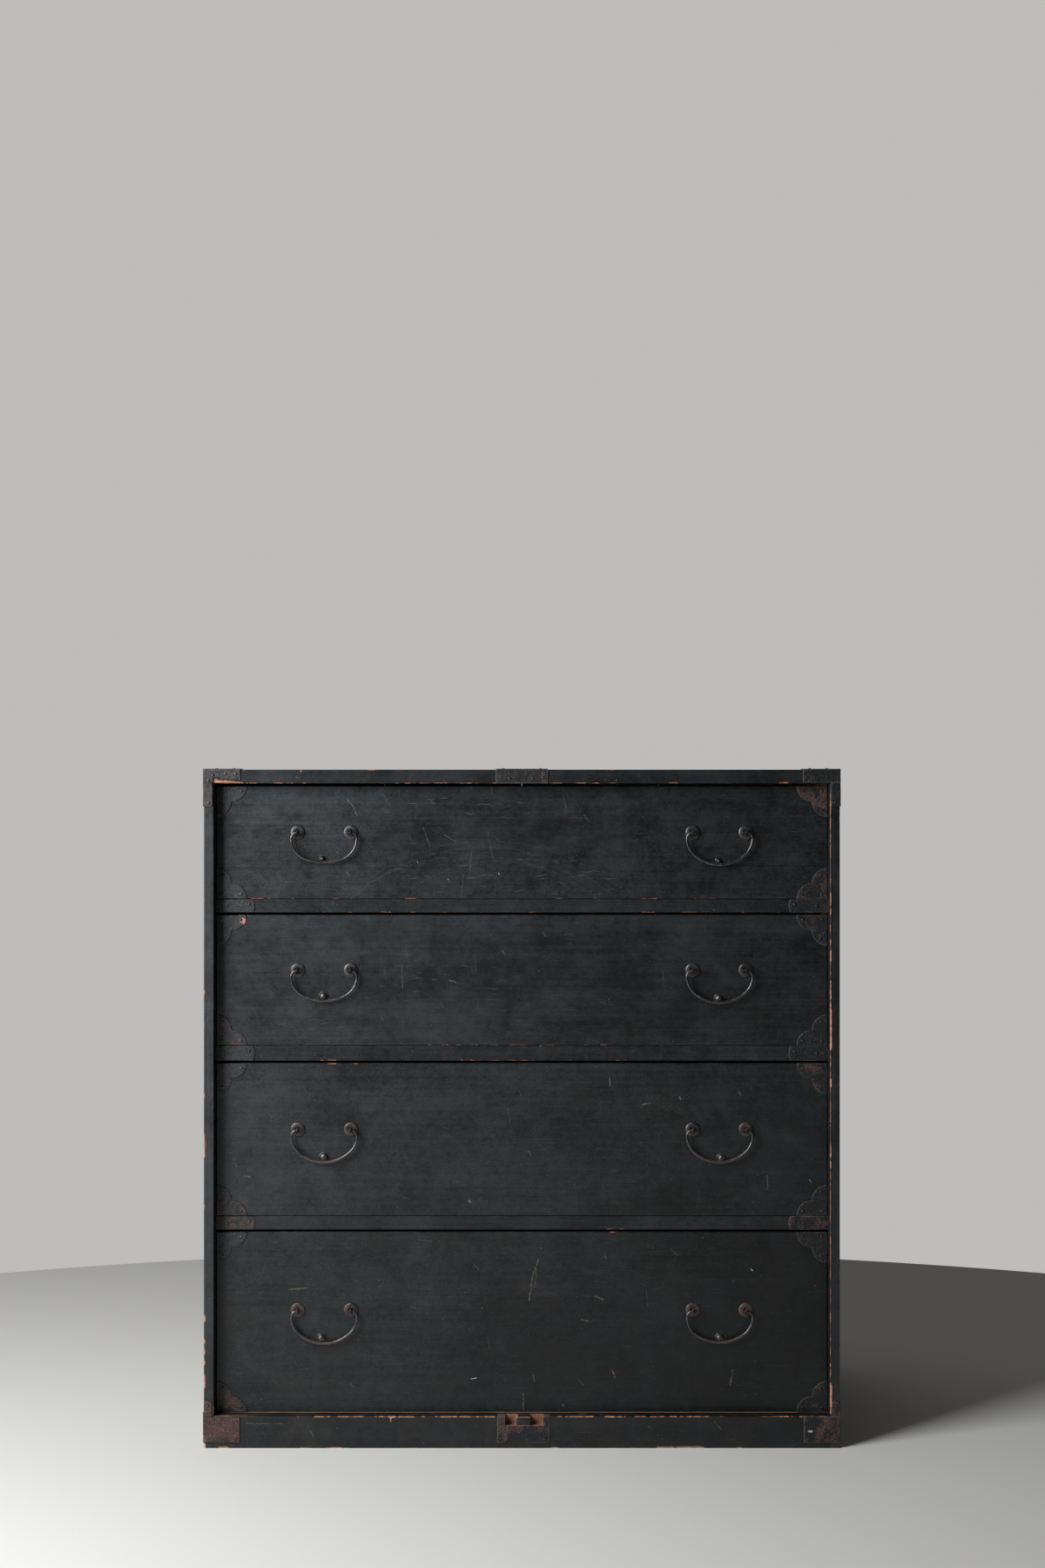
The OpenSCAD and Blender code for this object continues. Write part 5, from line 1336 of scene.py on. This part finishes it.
for n in (1, 2, 3, 4):
    body = f"drawer_{n}"
    z0, h, ez = LOWS[n - 1], FRONTS[n - 1], EYE_Z[n - 1]
    rust_up = {1: 0.0, 2: 0.06, 3: 0.24, 4: 0.30}[n]

    # front board, lacquered on its face
    S = Shape()
    chips = []
    top_c = on_line({1: [], 2: [(273, 283, 2.2)], 3: [(372, 387, 1.4), (402, 411, 1.0), (818, 825, 2.0)], 4: [(700, 706, 1.2)]}[n])
    low_c = on_line({1: [(288, 310, 1.3), (336, 338, 1.1), (381, 405, 1.1), (429, 431, 1.2), (465, 480, 1.7), (640, 646, 1.0), (680, 688, 1.0), (733, 755, 1.1), (798, 822, 1.0)],
                     2: [(347, 357, 1.1), (450, 452, 1.1), (491, 495, 1.4), (507, 514, 1.6), (523, 528, 1.4), (534, 547, 1.8), (564, 570, 1.2), (583, 607, 1.2), (620, 640, 0.9), (670, 674, 1.4), (691, 699, 1.7)],
                     3: [(520, 530, 0.9)], 4: [(572, 576, 1.4), (300, 330, 0.9)]}[n])
    chips += [(a, YD, z0 + h, b, YD, z0 + h, w) for a, b, w in top_c]
    chips += [(a, YD, z0, b, YD, z0, w) for a, b, w in low_c]
    board(S, (-XD, YD, z0), (XD, YD + 19, z0 + h), steps=(3.4, 5, 6),
          cuts=[((XD - 10, YD + 10, z0 - 1), (XD + 1, YD + 20, z0 + h + 1)), ((-XD - 1, YD + 10, z0 - 1), (-XD + 10, YD + 20, z0 + h + 1)),
                ((-XD - 1, YD + 10, z0 - 1), (XD + 1, YD + 20, z0 + 6.5))],
          chips=chips, r=0.75, wob=0.3, seed=200 + n)
    two_faced(S.make(f"drawer_{n}_front_piece", FRONT_LAC[n], body, "lacquer", f"drawer_{n}_front"), WOOD_X,
              lambda c, nn: c[:, 1] > YD + 18.4)

    # the box behind it
    zb = z0 + 6.5
    for side, word in ((-1, "left"), (1, "right")):
        S = Shape()
        a, b = sorted((side * XD, side * (XD - 10)))
        board(S, (a, YD + 10, zb), (b, YB - 20, z0 + h - 2), steps=(6, 12, 12), r=0.7, seed=210 + n * 3 + side)
        S.make(f"drawer_{n}_{word}_piece", WOOD_Y, body, "plain_wood", f"drawer_{n}_{word}")
    S = Shape()
    board(S, (-XD + 10, 185, zb), (XD - 10, 195, z0 + h - 8), steps=(14, 6, 12), r=0.7, seed=230 + n)
    S.make(f"drawer_{n}_back_piece", WOOD_X, body, "plain_wood", f"drawer_{n}_back")
    S = Shape()
    board(S, (-XD, YD + 10, z0), (XD, 195, zb), steps=(14, 14, 4), r=0.5, seed=240 + n)
    S.make(f"drawer_{n}_bottom_piece", WOOD_X, body, "plain_wood", f"drawer_{n}_bottom")

    # corner plates and nails
    S, N = Shape(), Shape()
    for side in (-1, 1):
        for top in (0, 1):
            put = (lambda u, w, side=side, top=top: (side * (XD - u), z0 + h - w if top else z0 + w))
            rust = CORNER_RUST[(n, side, top)]
            sheet_plate(S, [put(u, w) for u, w in lobes()], put(14, 14), YD, 1.0, seed=301 + n * 7 + side * 2 + top, wave=0.55,
                        rust=rust, rings=8)
            pts = [put(u, w) for u, w in ((34.5, 6.6), (8, 6), (9, 33))]
            nails(N, [(x, YD - 1, z) for x, z in pts], (0, -1, 0), seed=400 + n * 5 + side + top * 2, brown=rust)
    S.make(f"drawer_{n}_corner_plates_piece", IRON, body, "plate_iron", f"drawer_{n}_corner_plates")

    # bumper studs
    where = []
    for side, (dx, below, r) in zip((-1, 1), STUDS[n]):
        lip = r * 1.4
        prof = [(0, -9), (0.9, -8), (0.9, 0.0), (lip - 0.2, 0.0), (lip, 0.30), (lip - 0.1, 0.55), (lip - 0.5, 0.72), (lip - 0.9, 0.66),
                (lip - 1.2, 0.45), (r + 0.35, 0.35), (r + 0.05, 0.5), (r, 1.0), (r * 0.985, 1.7), (r * 0.92, 2.6), (r * 0.78, 3.45),
                (r * 0.56, 4.1), (r * 0.3, 4.48), (0, 4.58)]
        where.append((side * HANDLE_X + dx, ez - below))
        spun(N, prof, 30, (where[-1][0], YD, where[-1][1]), (0, -1, 0), spin=n + side, jitter=0.018, seed=500 + n + side,
             brown=0.02 + rust_up * 0.6)
    two_faced(N.make(f"drawer_{n}_nails_piece", NAILS, body, "nail_iron", f"drawer_{n}_nails"), STUD_IRON,
              lambda c, nn, where=where: ((c[:, 0] - where[0][0]) ** 2 + (c[:, 2] - where[0][1]) ** 2 < 100)
              | ((c[:, 0] - where[1][0]) ** 2 + (c[:, 2] - where[1][1]) ** 2 < 100))

    # rosettes and split pins
    S, P = Shape(), Shape()
    for k, x in enumerate((-HANDLE_X - EYE, -HANDLE_X + EYE, HANDLE_X - EYE, HANDLE_X + EYE)):
        a, b = rnd(n, k, 5), rnd(n, k, 6)
        prof = [(1.75, 0.0), (10.1, 0.0), (10.22, 0.25), (10.16, 0.6), (9.95, 1.0), (9.6, 1.35), (9.05, 1.66), (8.2, 1.88), (7.0, 2.02),
                (5.6, 2.10), (4.6, 2.05), (3.9, 1.80), (3.4, 1.35), (2.9, 0.80), (2.3, 0.45), (1.75, 0.35)]
        spun(S, prof, 40, (x, YD, ez), (0, -1, 0), spin=a * 6, closed=True, jitter=0.012, seed=600 + n * 4 + k,
             brown=0.16 + rust_up + 0.25 * (b - 0.4))
        # one wire: a clinched leg, through the board, round the eye and back
        y1, ym = YD + 19.7, YD - 7.0
        path = [(x, y1, ez + 13), (x, y1, ez + 9), (x, y1, ez + 5), (x, y1, ez + 2.4), (x, y1 - 0.4, ez + 1.3), (x, y1 - 1.4, ez + 0.85),
                (x, YD + 14, ez + 0.8), (x, YD + 4, ez + 0.8), (x, YD - 2.2, ez + 0.85)]
        for t in np.linspace(math.radians(28), math.radians(332), 22):
            path.append((x, ym + 3.4 * math.cos(t), ez + 3.4 * math.sin(t)))
        path += [(x, YD - 2.2, ez - 0.85), (x, YD + 4, ez - 0.8), (x, YD + 14, ez - 0.8), (x, y1 - 1.4, ez - 0.85), (x, y1 - 0.4, ez - 1.3),
                 (x, y1, ez - 2.4), (x, y1, ez - 5), (x, y1, ez - 9), (x, y1, ez - 13)]
        rad = [0.35, 0.62, 0.68, 0.7, 0.72, 0.74, 0.76, 0.76, 0.85] + [1.12] * 22 + [0.85, 0.76, 0.76, 0.74, 0.72, 0.7, 0.68, 0.62, 0.35]
        tube(P, path, rad, sides=10, up=(1, 0, 0), hammer=0.05, seed=n * 4 + k, brown=0.30 + rust_up)
    S.make(f"drawer_{n}_rosettes_piece", ROSETTE, body, "plate_iron", f"drawer_{n}_rosettes")
    P.make(f"drawer_{n}_eye_pins_piece", PIN, body, "nail_iron", f"drawer_{n}_eye_pins")

    # bails
    for side, word in ((-1, "left"), (1, "right")):
        S = Shape()
        drop = 42.1 + BAIL_MORE[n][0 if side < 0 else 1]
        p = bail_points(drop, n * 2 + side)
        m = len(p)
        t = np.abs(np.linspace(-1, 1, m))
        seed = n * 10 + side
        lat = np.stack([p[:, 0], np.full(m, seed * 9.0), p[:, 1]], 1)
        calm = smooth(0.0, 0.14, 1 - t)
        wx = vnoise(lat, 24, seed) * 0.32 * calm
        wy = vnoise(lat, 30, seed + 3) * 0.22 * calm
        path = np.stack([side * HANDLE_X + p[:, 0] + wx, np.full(m, YD - 7.0) + wy - 0.02, ez + p[:, 1] + wx * 0.4], 1)
        rad = 1.62 + 0.50 * smooth(0.62, 0.15, t) - 0.0 * t
        rad = rad * (0.66 + 0.34 * smooth(0.0, 0.10, 1 - t))
        rad = rad + 0.05 * vnoise(lat, 6, seed + 7)
        # the last term lifts the attribute past 0.85 near both ends, where the material paints shade near black
        brown = 0.06 + 0.34 * smooth(0.60, 0.2, t) + rust_up * 0.6 + 0.12 * vnoise(lat, 12, seed + 9) + 1.1 * smooth(0.83, 0.90, t)
        tube(S, path, rad, sides=18, flat=0.93, hammer=0.028, seed=seed)
        S.a["brown"] = [np.concatenate([np.repeat(brown, 18), brown[:1], brown[-1:]])]
        S.make(f"drawer_{n}_bail_{word}_piece", BAIL, f"drawer_{n}_bail_{word}", "handle_iron", f"drawer_{n}_bail_{word}")


# ---------------------------------------------------------------- floor, light, camera

me = bpy.data.meshes.new("floor")
rim = [(2.6 * math.cos(t), 2.6 * math.sin(t) - 1.55, 0.0) for t in np.linspace(0, 2 * math.pi, 180, endpoint=False)]
me.from_pydata(rim, [], [tuple(range(180))])
floor = bpy.data.objects.new("floor", me)
bpy.context.scene.collection.objects.link(floor)
fm = Mat("floor_pale")
fm.set(color=(0.68, 0.665, 0.64), rough=0.8, spec=0.1)
me.materials.append(fm.m)

world = bpy.data.worlds.new("studio")
bpy.context.scene.world = world
world.use_nodes = True
wt = world.node_tree
wt.nodes.clear()
wo = wt.nodes.new("ShaderNodeOutputWorld")
seen, lit = wt.nodes.new("ShaderNodeBackground"), wt.nodes.new("ShaderNodeBackground")
seen.inputs[0].default_value = (0.515, 0.508, 0.502, 1)
lit.inputs[0].default_value = (0.92, 0.96, 1.0, 1)
lit.inputs[1].default_value = 0.02
lp, mx = wt.nodes.new("ShaderNodeLightPath"), wt.nodes.new("ShaderNodeMixShader")
wt.links.new(lp.outputs["Is Camera Ray"], mx.inputs[0])
wt.links.new(lit.outputs[0], mx.inputs[1])
wt.links.new(seen.outputs[0], mx.inputs[2])
wt.links.new(mx.outputs[0], wo.inputs[0])


def area(name, place, target, size, power, color=(1, 1, 1)):
    data = bpy.data.lights.new(name, "AREA")
    data.shape = "RECTANGLE"
    data.size, data.size_y = size
    data.energy = power
    data.color = color
    o = bpy.data.objects.new(name, data)
    o.location = place
    o.rotation_euler = (Vector(target) - Vector(place)).to_track_quat("-Z", "Y").to_euler()
    bpy.context.scene.collection.objects.link(o)
    return o


area("window", (-1.66, -1.50, 1.45), (0.0, -0.2, 0.5), (1.05, 1.5), 88, (0.965, 0.985, 1.0))
sun = bpy.data.lights.new("skylight", "SUN")
sun.energy, sun.angle, sun.color = 0.30, math.radians(50), (1.0, 0.985, 0.96)
o = bpy.data.objects.new("skylight", sun)
o.rotation_euler = (math.radians(-12), math.radians(-10), 0)
bpy.context.scene.collection.objects.link(o)

cam = bpy.data.cameras.new("camera")
cam.lens, cam.sensor_width = 49.8, 36
cam.clip_start, cam.clip_end = 0.05, 300
camera = bpy.data.objects.new("camera", cam)
camera.location = (0.0009, -3.215, 0.9186)
camera.rotation_euler = (math.radians(90), 0, 0)
bpy.context.scene.collection.objects.link(camera)
bpy.context.scene.camera = camera
bpy.context.scene.view_settings.view_transform = "Standard"


bpy.context.view_layer.update()
